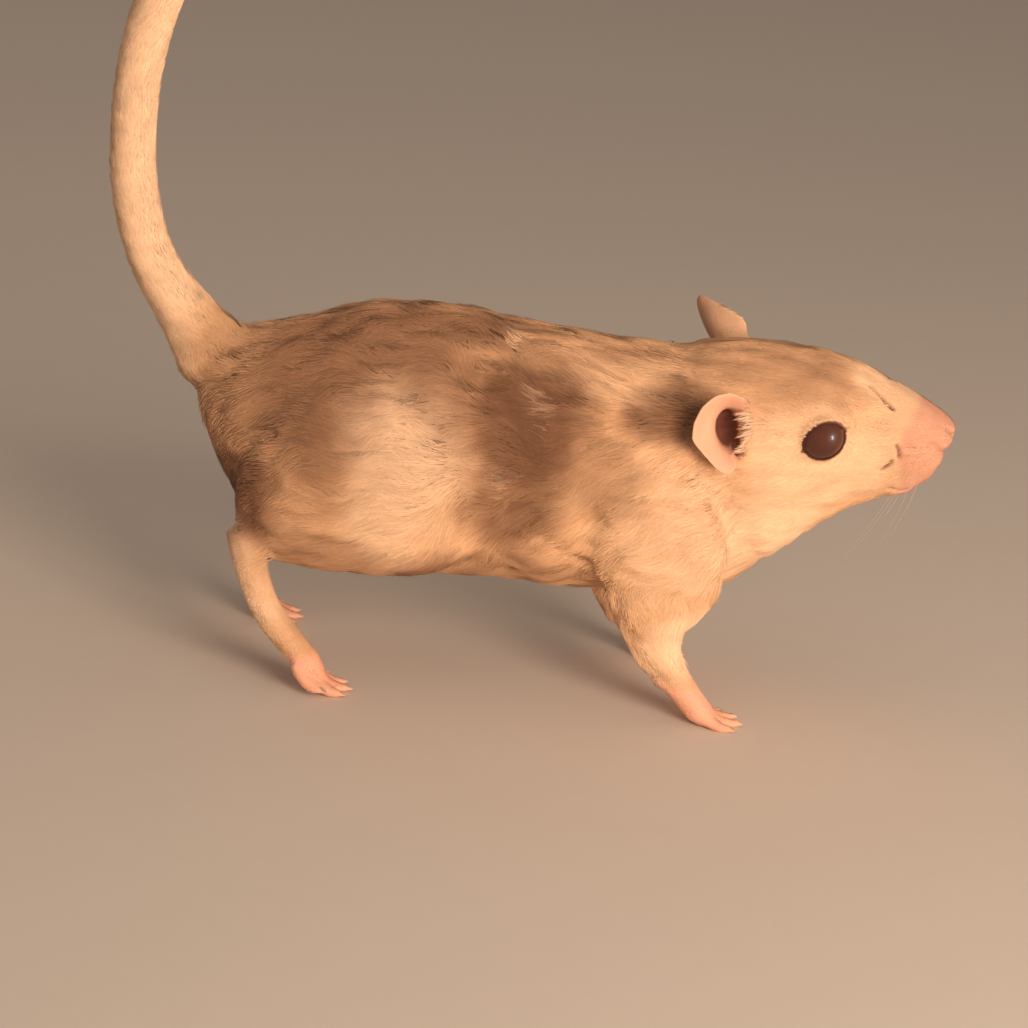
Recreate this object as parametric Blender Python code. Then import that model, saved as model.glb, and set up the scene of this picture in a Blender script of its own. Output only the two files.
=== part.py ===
"""A life-size gerbil in mid-run, for Blender 4.5.

Metres, +Z up, the head towards +X and the animal's right side towards -Y. It stands on its four
feet, with the heels of the long hind feet raised. The solids reach out to the tips of the coat.
"""

import math

import bmesh
import bpy
import numpy as np

MM = 0.001

# Driving dimensions, in millimetres
GAP = 0.3
EYE_RADIUS = 4.0
EYE_CENTRE = (46.7, 8.0, 50.5)

# The head is rolled about a line along +X at this height, the right side down, and the roll grows
# from none at the shoulders to all of it at the cheeks
HEAD_ROLL = 10.0
ROLL_AXIS_Z = 48.0
ROLL_FROM_X = 8.0
ROLL_FULL_X = 42.0

# Ears
EAR_HEIGHT = 12.9
EAR_WIDTH = 10.3
EAR_DEPTH = 2.6
EAR_THICKNESS = 0.8
# From the middle of the back out to the rim and in again over the hollow: share of the half width,
# share of the thickness
EAR_SHELL = ((0.05, 0), (0.5, 0), (0.85, 0), (1.0, 0.25), (1.0, 0.75), (0.84, 1), (0.5, 1), (0.05, 1))
# Each ear's foot, the way it points and the way its hollow faces: the right one is laid out
# sideways, the left one stands up
EAR_PLACES = {
    "right": ((32.6, -13.4, 42.9), (-0.18, -0.08, 0.98), (0.28, -0.93, 0.18)),
    "left": ((37.0, 8.8, 54.4), (-0.73, 0.25, 0.64), (0.66, 0.62, 0.42)),
}

# Body sections: distance forward, top, bottom, height of the widest line, half width
BODY_SECTIONS = {
    "rump end": (-53.4, 46.8, 44.8, 45.8, 1.2),
    "tail base": (-52.0, 49.2, 41.4, 45.2, 6.0),
    "rump": (-49.5, 52.4, 37.2, 44.0, 9.8),
    "seat": (-46.5, 54.2, 31.4, 42.0, 12.6),
    "hips": (-42.0, 55.8, 25.0, 39.5, 14.8),
    "thighs": (-35.0, 57.6, 20.8, 38.2, 16.2),
    "loins": (-25.0, 61.0, 19.0, 38.4, 17.0),
    "waist": (-14.0, 61.6, 18.0, 38.6, 17.0),
    "ribs": (-2.0, 60.3, 17.8, 38.4, 16.6),
    "shoulders": (10.0, 59.2, 17.6, 38.0, 15.6),
    "withers": (19.0, 58.6, 17.0, 39.5, 14.4),
    "nape": (26.5, 59.6, 16.8, 42.5, 13.2),
    "ears": (33.0, 60.8, 16.8, 45.4, 12.4),
    "cheeks": (40.0, 60.8, 21.8, 47.0, 12.0),
    "eyes": (47.0, 60.2, 30.2, 48.2, 10.9),
    "snout": (53.0, 58.9, 35.2, 48.2, 9.3),
    "muzzle": (58.0, 56.8, 37.4, 47.4, 7.8),
    "lips": (62.5, 54.6, 38.6, 46.8, 6.6),
    "nostrils": (65.8, 52.7, 41.0, 47.2, 5.4),
    "nose front": (67.6, 51.5, 44.4, 48.2, 3.8),
    "nose tip": (68.6, 50.6, 47.4, 49.1, 2.1),
    "nose end": (68.9, 49.9, 48.6, 49.3, 0.8),
}
BODY_SQUARENESS = 2.15
BODY_AROUND = 28
BODY_SPACING = 5.6
# Cuts that part the body: each plane's line seen from the side, from its top point (forward, height)
# to its bottom point
MUZZLE_CUT = ((58.0, 60.0), (59.5, 36.0))
HEAD_CUT = ((26.0, 60.0), (41.0, 26.0))
NECK_CUT = ((15.5, 60.0), (32.5, 22.0))

# Tail centre line from inside the rump to the tip: forward, height, radius
TAIL_PATH = (
    (-45.0, 46.5, 6.6),
    (-49.6, 49.8, 6.6),
    (-53.8, 55.2, 5.1),
    (-57.8, 60.2, 4.15),
    (-61.3, 66.2, 3.85),
    (-63.4, 72.8, 3.75),
    (-64.5, 80.5, 3.7),
    (-64.6, 88.5, 3.65),
    (-63.7, 97.5, 3.65),
    (-61.7, 105.7, 3.7),
    (-58.6, 113.8, 3.65),
    (-54.2, 121.8, 3.6),
    (-48.8, 129.2, 3.5),
    (-43.0, 135.2, 2.6),
    (-38.6, 138.8, 1.0),
    (-37.4, 139.6, 0.25),
)
TAIL_PARTS = {"tail_root": 0.0, "tail_lower": 0.24, "tail_upper": 0.5, "tail_tuft": 0.76}
TAIL_LENGTH = 110.0

# Haunch sections, from the hock to the knee: forward, top, bottom, inner side, outer side
HAUNCH_SECTIONS = (
    (-44.2, 32.0, 28.4, 11.6, 14.4),
    (-43.2, 38.0, 25.0, 10.0, 16.2),
    (-40.5, 44.0, 22.6, 8.8, 18.0),
    (-36.0, 48.6, 21.2, 7.8, 19.6),
    (-29.0, 51.8, 20.6, 7.6, 20.6),
    (-21.5, 52.0, 20.6, 7.8, 20.6),
    (-15.0, 49.0, 21.0, 8.4, 19.5),
    (-10.5, 44.5, 22.2, 9.4, 17.9),
    (-7.4, 39.5, 24.4, 10.8, 16.4),
    (-5.8, 34.4, 29.0, 12.4, 14.6),
)

# Hind foot centre line from the hock to the toes: forward, height, half thickness, half width.
# The left foot stands further back and steeper, at the end of its push.
HIND_FOOT_Y = 14.4
HIND_FOOT_PATHS = {
    "right": (
        (-43.9, 30.0, 0.7, 0.7),
        (-43.4, 28.6, 1.9, 1.9),
        (-42.2, 24.6, 2.5, 2.4),
        (-40.6, 19.2, 2.35, 2.3),
        (-38.8, 14.8, 2.25, 2.35),
        (-36.6, 11.2, 2.2, 2.6),
        (-34.0, 8.2, 2.1, 2.8),
        (-31.2, 5.4, 1.8, 2.8),
        (-29.0, 3.4, 1.3, 2.3),
        (-28.2, 2.7, 0.6, 1.2),
    ),
    "left": (
        (-43.7, 30.0, 0.7, 0.7),
        (-43.6, 28.6, 1.9, 1.9),
        (-43.5, 24.6, 2.5, 2.4),
        (-43.5, 19.0, 2.35, 2.3),
        (-43.6, 14.6, 2.25, 2.35),
        (-43.3, 10.8, 2.2, 2.6),
        (-42.6, 7.4, 2.1, 2.8),
        (-41.4, 4.7, 1.8, 2.8),
        (-39.9, 3.1, 1.3, 2.3),
        (-39.2, 2.5, 0.6, 1.2),
    ),
}
HIND_FOOT_FROM = 0.115

# Toes, from the ball of the foot: forward, height and out at the root, then at the tip
HIND_TOE_BALL = {"right": -30.6, "left": -41.4}
HIND_TOES = (
    (-2.0, 5.2, -2.2, 2.4, 1.3, -3.7),
    (0.0, 3.4, -1.5, 5.6, 0.45, -2.7),
    (0.2, 3.3, 0.0, 6.6, 0.45, -0.2),
    (0.0, 3.4, 1.5, 5.8, 0.45, 2.4),
    (-2.0, 5.2, 2.2, 2.6, 1.3, 3.6),
)
HIND_TOE_RADII = (1.15, 0.85)

# Foreleg centre line from inside the shoulder to the toes: forward, out, height, half sizes. The
# left forefoot stands further back.
FORELEG_PATH = (
    (16.0, 8.8, 45.0, 1.5, 1.0),
    (16.6, 9.2, 42.5, 6.5, 3.6),
    (18.6, 10.2, 36.5, 10.0, 5.6),
    (22.4, 11.0, 29.5, 11.4, 5.6),
    (24.4, 11.8, 23.2, 10.2, 4.9),
    (23.8, 12.4, 17.4, 6.8, 4.3),
    (24.5, 12.8, 12.8, 4.4, 3.6),
    (26.6, 13.0, 9.2, 3.1, 2.9),
    (28.9, 13.0, 6.4, 2.35, 2.3),
    (31.0, 13.0, 3.9, 2.1, 2.4),
    (33.0, 13.0, 1.8, 2.0, 2.7),
    (34.5, 13.0, 1.1, 1.35, 2.3),
    (35.2, 13.0, 0.9, 0.5, 1.2),
)
FORELEG_SWING = {"right": 0.0, "left": -9.0}
FOREFOOT_FROM = 0.78
FORE_TOE_BALL = 33.8
FORE_TOES = (
    (-1.0, 1.6, -2.0, 2.2, 0.4, -4.2),
    (0.0, 1.4, -1.3, 4.6, 0.4, -2.4),
    (0.2, 1.4, 0.3, 5.4, 0.4, 0.4),
    (-0.2, 1.5, 1.8, 4.0, 0.4, 3.0),
)
FORE_TOE_RADII = (0.95, 0.68)
CLAW_LENGTH = 1.6
CLAW_RADIUS = 0.42

# Colours in daylight: red, green, blue
COAT_COLOUR = (0.62, 0.42, 0.25)
PALE_COAT_COLOUR = (0.80, 0.62, 0.42)
SKIN_COLOUR = (0.82, 0.50, 0.38)
EYE_COLOUR = (0.03, 0.012, 0.008)


def clear_scene():
    for obj in list(bpy.data.objects):
        bpy.data.objects.remove(obj)


def finish(name, colour, roughness):
    """A Principled material with one colour and roughness."""
    material = bpy.data.materials.new(name)
    material.use_nodes = True
    shader = material.node_tree.nodes["Principled BSDF"]
    shader.inputs["Base Color"].default_value = (*colour, 1)
    shader.inputs["Roughness"].default_value = roughness
    return material


def smooth_through(knots, values, at):
    """A curve through the values that never overshoots them: a cubic between each two knots, whose
    slope at a knot is the harmonic mean of the slopes on its two sides."""
    knots, values = np.asarray(knots, float), np.asarray(values, float)
    steps = np.diff(knots)
    rises = np.diff(values) / steps
    both = rises[:-1] * rises[1:]
    mean = np.where(both > 0, 2 * both / np.where(both > 0, rises[:-1] + rises[1:], 1), 0)
    slopes = np.concatenate([rises[:1], mean, rises[-1:]])
    i = np.clip(np.searchsorted(knots, at) - 1, 0, len(steps) - 1)
    t = (at - knots[i]) / steps[i]
    return (
        values[i] * (2 * t**3 - 3 * t**2 + 1)
        + values[i + 1] * (3 * t**2 - 2 * t**3)
        + steps[i] * (slopes[i] * (t**3 - 2 * t**2 + t) + slopes[i + 1] * (t**3 - t**2))
    )


def make_object(name, rings, material):
    """One closed mesh from rings of points (ring, point, xyz) in millimetres, with a flat fan at
    each end, its faces turned outwards."""
    count, around, _ = rings.shape
    ends = rings[[0, -1]].mean(axis=1)
    points = np.concatenate([rings.reshape(-1, 3), ends]) * MM
    here = np.arange(around)
    nxt = (here + 1) % around
    faces = []
    for ring in range(count - 1):
        low, high = ring * around, (ring + 1) * around
        faces += np.stack([low + here, low + nxt, high + nxt, high + here], axis=1).tolist()
    first, last = count * around, count * around + 1
    faces += np.stack([np.full(around, first), nxt, here], axis=1).tolist()
    top = (count - 1) * around
    faces += np.stack([np.full(around, last), top + here, top + nxt], axis=1).tolist()
    mesh = bpy.data.meshes.new(name)
    mesh.from_pydata(points.tolist(), [], faces)
    built = bmesh.new()
    built.from_mesh(mesh)
    bmesh.ops.recalc_face_normals(built, faces=built.faces)
    if built.calc_volume(signed=True) < 0:
        bmesh.ops.reverse_faces(built, faces=built.faces)
    built.to_mesh(mesh)
    built.free()
    mesh.shade_smooth()
    mesh.set_sharp_from_angle(angle=math.radians(50))
    mesh.materials.append(material)
    obj = bpy.data.objects.new(name, mesh)
    bpy.context.collection.objects.link(obj)
    return obj


def as_cutter(obj):
    obj.hide_render = True
    obj.display_type = "WIRE"
    return obj


def grown(obj, by=GAP):
    """A guide copy of a piece, larger all round by the gap."""
    guide = obj.copy()
    guide.name = obj.name + "_room"
    bpy.context.collection.objects.link(guide)
    push = guide.modifiers.new("gap", "DISPLACE")
    push.strength = by * MM
    push.mid_level = 0
    return as_cutter(guide)


def combine(obj, other, operation):
    boolean = obj.modifiers.new(other.name, "BOOLEAN")
    boolean.operation = operation
    boolean.object = other


def arc_length(points):
    """How far along the line each point lies, from 0 to 1."""
    run = np.concatenate([[0], np.cumsum(np.linalg.norm(np.diff(points, axis=0), axis=1))])
    return run / run[-1]


def tube_rings(path, start, end, count, around):
    """Rings across a bent path of rows (x, y, z, half size in the plane of the bend, half size
    across it), between two shares of its length. The path bends in planes that hold +-Y across."""
    path = np.asarray(path, float)
    share = arc_length(path[:, :3])
    at = np.linspace(start, end, count)
    line = np.stack([smooth_through(share, path[:, k], at) for k in range(5)], axis=1)
    ahead = np.stack([smooth_through(share, path[:, k], np.minimum(at + 0.004, 1)) for k in range(3)], 1)
    behind = np.stack([smooth_through(share, path[:, k], np.maximum(at - 0.004, 0)) for k in range(3)], 1)
    along = ahead - behind
    along /= np.linalg.norm(along, axis=1, keepdims=True)
    across = np.cross(along, np.cross([0.0, 1.0, 0.0], along))
    across /= np.linalg.norm(across, axis=1, keepdims=True)
    bend = np.cross(along, across)
    angle = np.linspace(0, 2 * math.pi, around, endpoint=False)
    return (
        line[:, None, :3]
        + line[:, None, 3:4] * np.cos(angle)[None, :, None] * bend[:, None]
        + line[:, None, 4:5] * np.sin(angle)[None, :, None] * across[:, None]
    )


def roll_share(x):
    """How much of the head's roll a section at x has: none at the shoulders, all at the cheeks."""
    t = np.clip((x - ROLL_FROM_X) / (ROLL_FULL_X - ROLL_FROM_X), 0, 1)
    return t * t * (3 - 2 * t)


def rolled(points):
    """Turns points about the head's long axis, the right side down."""
    x, y, z = np.moveaxis(points, -1, 0)
    turn = np.radians(HEAD_ROLL) * roll_share(x)
    z = z - ROLL_AXIS_Z
    return np.stack(
        [x, y * np.cos(turn) - z * np.sin(turn), ROLL_AXIS_Z + y * np.sin(turn) + z * np.cos(turn)], -1
    )


def body_rings(around=BODY_AROUND, spacing=BODY_SPACING):
    """Sections across the whole body. Above and below its widest line each is half of a slightly
    squared oval."""
    table = np.array(list(BODY_SECTIONS.values()))
    x = [table[0, 0]]
    for low, high in zip(table[:-1, 0], table[1:, 0]):
        x += np.linspace(low, high, max(1, round((high - low) / spacing)) + 1)[1:].tolist()
    x = np.array(x)
    top, bottom, widest, half = (smooth_through(table[:, 0], table[:, k], x)[:, None] for k in (1, 2, 3, 4))
    angle = np.linspace(0, 2 * math.pi, around, endpoint=False)[None, :]
    power = 2 / BODY_SQUARENESS
    side = np.sign(np.cos(angle)) * np.abs(np.cos(angle)) ** power
    rise = np.sign(np.sin(angle)) * np.abs(np.sin(angle)) ** power
    y = half * side
    z = widest + np.where(rise > 0, top - widest, widest - bottom) * rise
    return rolled(np.stack([np.broadcast_to(x[:, None], y.shape), y, z], axis=-1))


def body_length(name, whole, material, rear_cut=None, front_cut=None):
    """The length of the whole body between two slanted planes, closed flat at each. The plane at
    its front end stands back by the gap."""
    built = bmesh.new()
    built.from_mesh(whole.data)
    for cut, facing, back in ((rear_cut, 1, 0.0), (front_cut, -1, GAP)):
        if cut is None:
            continue
        (top_x, top_z), (bottom_x, bottom_z) = cut
        ahead = np.array([top_z - bottom_z, 0, bottom_x - top_x])
        ahead /= np.linalg.norm(ahead)
        point = np.array([top_x, 0, top_z]) - ahead * back
        geometry = [*built.verts, *built.edges, *built.faces]
        bmesh.ops.bisect_plane(
            built, geom=geometry, dist=1e-7, plane_co=point * MM, plane_no=ahead * facing, clear_inner=True
        )
        rim = [edge for edge in built.edges if edge.is_boundary]
        bmesh.ops.contextual_create(built, geom=rim)
    bmesh.ops.recalc_face_normals(built, faces=built.faces)
    mesh = bpy.data.meshes.new(name)
    built.to_mesh(mesh)
    built.free()
    mesh.shade_smooth()
    mesh.set_sharp_from_angle(angle=math.radians(50))
    mesh.materials.clear()
    mesh.materials.append(material)
    obj = bpy.data.objects.new(name, mesh)
    bpy.context.collection.objects.link(obj)
    return obj


def haunch_rings(side, around=18):
    """Oval sections of a haunch, which narrow to a blunt end at the hock and at the knee."""
    table = np.asarray(HAUNCH_SECTIONS, float)
    x = np.concatenate([table[:2, 0], np.linspace(table[2, 0], table[-3, 0], 9), table[-2:, 0]])
    top, bottom, inner, outer = (smooth_through(table[:, 0], table[:, k], x)[:, None] for k in (1, 2, 3, 4))
    angle = np.linspace(0, 2 * math.pi, around, endpoint=False)[None, :]
    y = (inner + outer) / 2 + (outer - inner) / 2 * np.cos(angle)
    z = (top + bottom) / 2 + (top - bottom) / 2 * np.sin(angle)
    return np.stack([np.broadcast_to(x[:, None], y.shape), side * y, z], axis=-1)


def toe_rings(start, end, radii, around=6):
    """A finger from one point to another that comes down fast and then lies along the floor, tapers
    and is rounded at its tip."""
    run = np.array([0.0, 0.4, 0.65, 0.88, 0.98])
    radius = np.array([1.0, 0.97, 0.93, 0.75, 0.3]) * np.interp(run, [0, 1], radii)
    start, end = np.asarray(start, float), np.asarray(end, float)
    line = start + (end - start) * run[:, None]
    line[:, 2] = end[2] + (start[2] - end[2]) * (1 - run) ** 2.2
    along = (end - start) / np.linalg.norm(end - start)
    across = np.cross(along, [0, 0, 1])
    across /= np.linalg.norm(across)
    up = np.cross(across, along)
    angle = np.linspace(0, 2 * math.pi, around, endpoint=False)
    ring = np.cos(angle)[:, None] * across + np.sin(angle)[:, None] * up
    return line[:, None] + radius[:, None, None] * ring[None]


def claw_rings(toe_start, toe_end, around=4):
    """A claw that carries on from the toe's tip and curves down."""
    toe_start, toe_end = np.asarray(toe_start, float), np.asarray(toe_end, float)
    along = (toe_end - toe_start) * [1, 1, 0]
    along /= np.linalg.norm(along)
    run = np.linspace(0, 1, 3)
    line = toe_end + along * (run[:, None] * CLAW_LENGTH - 0.5)
    line[:, 2] += 0.35 - 0.45 * run**2
    across = np.array([-along[1], along[0], 0])
    angle = np.linspace(0, 2 * math.pi, around, endpoint=False)
    ring = np.cos(angle)[:, None] * across + np.sin(angle)[:, None] * [0, 0, 1]
    radius = CLAW_RADIUS * (1 - 0.8 * run)
    return line[:, None] + radius[:, None, None] * ring[None]


def floor_block():
    """What lies below the floor, which leaves a small flat under each foot."""
    bpy.ops.mesh.primitive_cube_add(size=1, location=(0, 0, -0.01))
    block = bpy.context.object
    block.name = "below_floor"
    block.scale = (0.2, 0.1, 0.02)
    bpy.ops.object.transform_apply(location=True, scale=True)
    return as_cutter(block)


def add_foot(name, rings, toes, ball, radii, side, skin, floor):
    """A foot with its toes and claws joined on and its sole cut flat."""
    foot = make_object(name, rings, skin)
    for number, (x0, z0, y0, x1, z1, y1) in enumerate(toes):
        start = (ball[0] + x0, side * (ball[1] + y0), z0)
        end = (ball[0] + x1, side * (ball[1] + y1), z1)
        toe = as_cutter(make_object(f"{name}_toe_{number}", toe_rings(start, end, radii), skin))
        claw = as_cutter(make_object(f"{name}_claw_{number}", claw_rings(start, end), skin))
        combine(foot, toe, "UNION")
        combine(foot, claw, "UNION")
    combine(foot, floor, "DIFFERENCE")
    return foot


def ear_rings(base, up, face, around=14):
    """A shallow dish of even thickness with a rounded oval rim: its outline narrows to the stalk at
    the base, and it is hollow towards its face."""
    up = np.asarray(up, float) / np.linalg.norm(up)
    face = np.asarray(face, float) - np.dot(face, up) * up
    face /= np.linalg.norm(face)
    across = np.cross(up, face)
    angle = np.linspace(0, 2 * math.pi, around, endpoint=False)
    outline_up = EAR_HEIGHT / 2 * (1 + np.sin(angle))
    narrow = np.clip(outline_up / (0.45 * EAR_HEIGHT), 0.45, 1) ** 0.7
    outline_across = EAR_WIDTH / 2 * np.cos(angle) * narrow
    rings = []
    for share, level in EAR_SHELL:
        hollow = EAR_DEPTH * share**2 + level * EAR_THICKNESS - EAR_DEPTH
        u = EAR_HEIGHT / 2 + (outline_up - EAR_HEIGHT / 2) * share
        rings.append(
            np.asarray(base) + u[:, None] * up + (outline_across * share)[:, None] * across + hollow * face
        )
    return np.array(rings)


def build():
    clear_scene()
    coat = finish("coat", COAT_COLOUR, 0.85)
    pale = finish("pale_coat", PALE_COAT_COLOUR, 0.85)
    skin = finish("skin", SKIN_COLOUR, 0.55)
    eye = finish("eye", EYE_COLOUR, 0.08)
    floor = floor_block()

    # Trunk, neck, head and muzzle are lengths of one lofted body
    whole = as_cutter(make_object("whole_body", body_rings(), coat))
    trunk = body_length("trunk", whole, coat, front_cut=NECK_CUT)
    neck = body_length("neck", whole, coat, NECK_CUT, HEAD_CUT)
    head = body_length("head", whole, coat, HEAD_CUT, MUZZLE_CUT)
    body_length("muzzle", whole, skin, rear_cut=MUZZLE_CUT)

    # Tail, in four lengths
    tail_path = [(x, 0.0, z, r, r) for x, z, r in TAIL_PATH]
    stops = [*TAIL_PARTS.values(), 1.0]
    trim = GAP / TAIL_LENGTH
    tail = []
    for name, start, end in zip(TAIL_PARTS, stops[:-1], stops[1:]):
        rings = tube_rings(tail_path, start, end - trim * (end < 1), 8, 12)
        tail.append(make_object(name, rings, pale))
    combine(trunk, grown(tail[0]), "DIFFERENCE")

    for side, word in ((-1, "right"), (1, "left")):
        # Eye in its socket
        centre = rolled(np.array([EYE_CENTRE[0], side * EYE_CENTRE[1], EYE_CENTRE[2]]))
        bpy.ops.mesh.primitive_uv_sphere_add(
            segments=12, ring_count=8, radius=EYE_RADIUS * MM, location=centre * MM
        )
        ball = bpy.context.object
        ball.name = "eye_" + word
        ball.data.materials.append(eye)
        ball.data.shade_smooth()
        combine(head, grown(ball), "DIFFERENCE")

        # Ear
        ear_room = grown(make_object("ear_" + word, ear_rings(*EAR_PLACES[word]), pale))
        combine(head, ear_room, "DIFFERENCE")
        combine(neck, ear_room, "DIFFERENCE")

        # Hind leg: the haunch with the shank folded under it, and the long foot
        haunch = make_object("haunch_" + word, haunch_rings(side), coat)
        combine(trunk, grown(haunch), "DIFFERENCE")
        foot_path = [(x, side * HIND_FOOT_Y, z, t, w) for x, z, t, w in HIND_FOOT_PATHS[word]]
        hind_rings = tube_rings(foot_path, HIND_FOOT_FROM, 1, 11, 8)
        ball = (HIND_TOE_BALL[word], HIND_FOOT_Y)
        foot = add_foot("hindfoot_" + word, hind_rings, HIND_TOES, ball, HIND_TOE_RADII, side, skin, floor)
        combine(haunch, grown(foot), "DIFFERENCE")

        # Foreleg and forefoot
        shoulder, swing = FORELEG_PATH[0][2], FORELEG_SWING[word]
        leg_path = [(x + swing * (1 - z / shoulder), side * y, z, a, b) for x, y, z, a, b in FORELEG_PATH]
        leg = make_object("foreleg_" + word, tube_rings(leg_path, 0, FOREFOOT_FROM - 0.006, 12, 14), pale)
        leg_room = grown(leg)
        combine(trunk, leg_room, "DIFFERENCE")
        combine(neck, leg_room, "DIFFERENCE")
        fore_rings = tube_rings(leg_path, FOREFOOT_FROM, 1, 8, 8)
        ball = (FORE_TOE_BALL + swing, FORELEG_PATH[-1][1])
        add_foot("forefoot_" + word, fore_rings, FORE_TOES, ball, FORE_TOE_RADII, side, skin, floor)


build()
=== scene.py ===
"""A life-size gerbil in mid-run: one skin over all the flesh, a coat of solid tufts that follow the
lie of the fur, wet eyes in their lids, whiskers and claws. Lengths are in millimetres unless a
name says otherwise."""

import math

import bmesh
import bpy
import numpy as np
from mathutils import Matrix, Vector
from mathutils.bvhtree import BVHTree


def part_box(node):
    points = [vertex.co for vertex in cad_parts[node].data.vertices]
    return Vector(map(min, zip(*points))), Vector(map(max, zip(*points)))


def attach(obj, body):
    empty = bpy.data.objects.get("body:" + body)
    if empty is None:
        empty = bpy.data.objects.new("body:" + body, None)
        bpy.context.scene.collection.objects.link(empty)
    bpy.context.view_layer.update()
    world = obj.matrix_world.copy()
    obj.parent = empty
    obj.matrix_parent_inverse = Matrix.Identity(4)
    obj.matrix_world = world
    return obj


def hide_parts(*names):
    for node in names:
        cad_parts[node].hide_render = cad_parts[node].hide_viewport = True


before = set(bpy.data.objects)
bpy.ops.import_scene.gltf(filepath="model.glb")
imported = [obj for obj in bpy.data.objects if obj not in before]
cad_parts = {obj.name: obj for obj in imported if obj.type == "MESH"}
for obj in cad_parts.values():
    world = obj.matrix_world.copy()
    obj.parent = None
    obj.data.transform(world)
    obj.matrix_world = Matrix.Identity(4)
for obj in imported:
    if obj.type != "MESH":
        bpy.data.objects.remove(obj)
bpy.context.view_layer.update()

# Camera: it looks at the animal's right side from a little above, with its head tilted, so that the
# level floor runs as it does in the photograph.
MM = 0.001
LOOK_AT = Vector((0.0, 0.0, 27.9))
CAMERA_DISTANCE = 463.0
CAMERA_DOWN = math.radians(20.0)
CAMERA_TILT = math.radians(5.48)
FOCAL_SHARE = 2850 / 1028
SENSOR_WIDTH = 36.0

camera = bpy.data.objects.new("camera", bpy.data.cameras.new("camera"))
camera.data.sensor_width = SENSOR_WIDTH
camera.data.lens = SENSOR_WIDTH * FOCAL_SHARE
camera.data.clip_start = 0.01
turned = Matrix.Rotation(math.pi / 2 - CAMERA_DOWN, 4, "X") @ Matrix.Rotation(CAMERA_TILT, 4, "Z")
back_off = Matrix.Translation((0, 0, CAMERA_DISTANCE * MM))
camera.matrix_world = Matrix.Translation(LOOK_AT * MM) @ turned @ back_off
bpy.context.collection.objects.link(camera)
bpy.context.scene.camera = camera


# Floor: one plain pale sheet of matt card under the feet, wide enough to fill the view. It is only
# there for the picture, and isn't exported.
FLOOR_HALF_WIDTH = 2500.0
FLOOR_COLOUR = (0.70, 0.60, 0.52)


class Link:
    """A socket in a material that takes part in Python sums. Each sum adds a Math node."""

    def __init__(self, tree, socket=None):
        self.tree = tree
        self.socket = socket

    def node(self, kind, settings=None, inputs=None, out=0):
        """Adds a shader node, sets it up, fills its sockets with values or links, and gives back
        one of its outputs."""
        made = self.tree.nodes.new("ShaderNode" + kind)
        for name, value in (settings or {}).items():
            setattr(made, name, value)
        for name, value in (inputs or {}).items():
            if isinstance(value, Link):
                self.tree.links.new(value.socket, made.inputs[name])
            else:
                made.inputs[name].default_value = value
        return Link(self.tree, made.outputs[out])

    def math(self, operation, *values):
        return self.node("Math", {"operation": operation}, dict(enumerate(values)))

    def vector(self, operation, *others, out=0):
        """Vector maths on this and the others."""
        return self.node("VectorMath", {"operation": operation}, dict(enumerate((self, *others))), out)

    def part(self, number):
        """One coordinate of a place."""
        return self.node("SeparateXYZ", {}, {0: self}, out=number)

    def __add__(self, other):
        return self.math("ADD", self, other)

    def __rsub__(self, other):
        return self.math("SUBTRACT", other, self)

    def __mul__(self, other):
        return self.math("MULTIPLY", self, other)

    def ramp(self, low, high):
        """0 below low, 1 above high and a smooth rise between them, or a fall if low is the larger."""
        turned = low > high
        settings = {"interpolation_type": "SMOOTHSTEP"}
        inputs = {"Value": self, "From Min": min(low, high), "From Max": max(low, high)}
        inputs |= {"To Min": float(turned), "To Max": float(not turned)}
        return self.node("MapRange", settings, inputs)

    def mix(self, first, second):
        """The first colour where this is 0 and the second where it is 1."""
        ends = [(*end, 1) if isinstance(end, tuple) else end for end in (first, second)]
        return self.node("Mix", {"data_type": "RGBA"}, {0: self, 6: ends[0], 7: ends[1]}, out=2)


def new_material(name, **constants):
    """A Principled material: its node tree's links and its shader, with constants set on sockets."""
    material = bpy.data.materials.new(name)
    material.use_nodes = True
    shader = material.node_tree.nodes["Principled BSDF"]
    for socket, value in constants.items():
        shader.inputs[socket.replace("_", " ")].default_value = value
    return material, Link(material.node_tree), shader


def connect(link, shader, socket):
    link.tree.links.new(link.socket, shader.inputs[socket])


def mottled_material(name, first, second, scale, **constants):
    """A material whose colour wanders between two in small patches, finer with a larger scale."""
    material, shading, shader = new_material(name, **constants)
    patches = shading.node("TexNoise", {}, {"Vector": shading.node("TexCoord", out=3), "Scale": scale})
    connect(patches.mix(first, second), shader, "Base Color")
    return material


def scaled(colour, share):
    return tuple(share * part for part in colour)


def make_mesh(name, points, faces, material=None):
    """An object from points (n, 3) in millimetres and faces that all have the same number of
    corners, shaded smooth."""
    faces = np.ascontiguousarray(faces, np.int32)
    mesh = bpy.data.meshes.new(name)
    mesh.vertices.add(len(points))
    mesh.vertices.foreach_set("co", np.ascontiguousarray(points * MM, np.float32).ravel())
    mesh.loops.add(faces.size)
    mesh.loops.foreach_set("vertex_index", faces.ravel())
    mesh.polygons.add(len(faces))
    mesh.polygons.foreach_set("loop_start", np.arange(0, faces.size, faces.shape[1], dtype=np.int32))
    mesh.update(calc_edges=True)
    mesh.shade_smooth()
    if material:
        mesh.materials.append(material)
    obj = bpy.data.objects.new(name, mesh)
    bpy.context.collection.objects.link(obj)
    return obj


def grid_faces(rows, columns, close_rows=False, close_columns=False):
    """Quads between neighbours of a grid of points numbered row by row."""
    r = np.arange(rows - (not close_rows))[:, None]
    c = np.arange(columns - (not close_columns))[None, :]
    r1, c1 = (r + 1) % rows, (c + 1) % columns
    corners = (r * columns + c, r * columns + c1, r1 * columns + c1, r1 * columns + c)
    return np.stack(np.broadcast_arrays(*corners), axis=-1).reshape(-1, 4)


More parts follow.
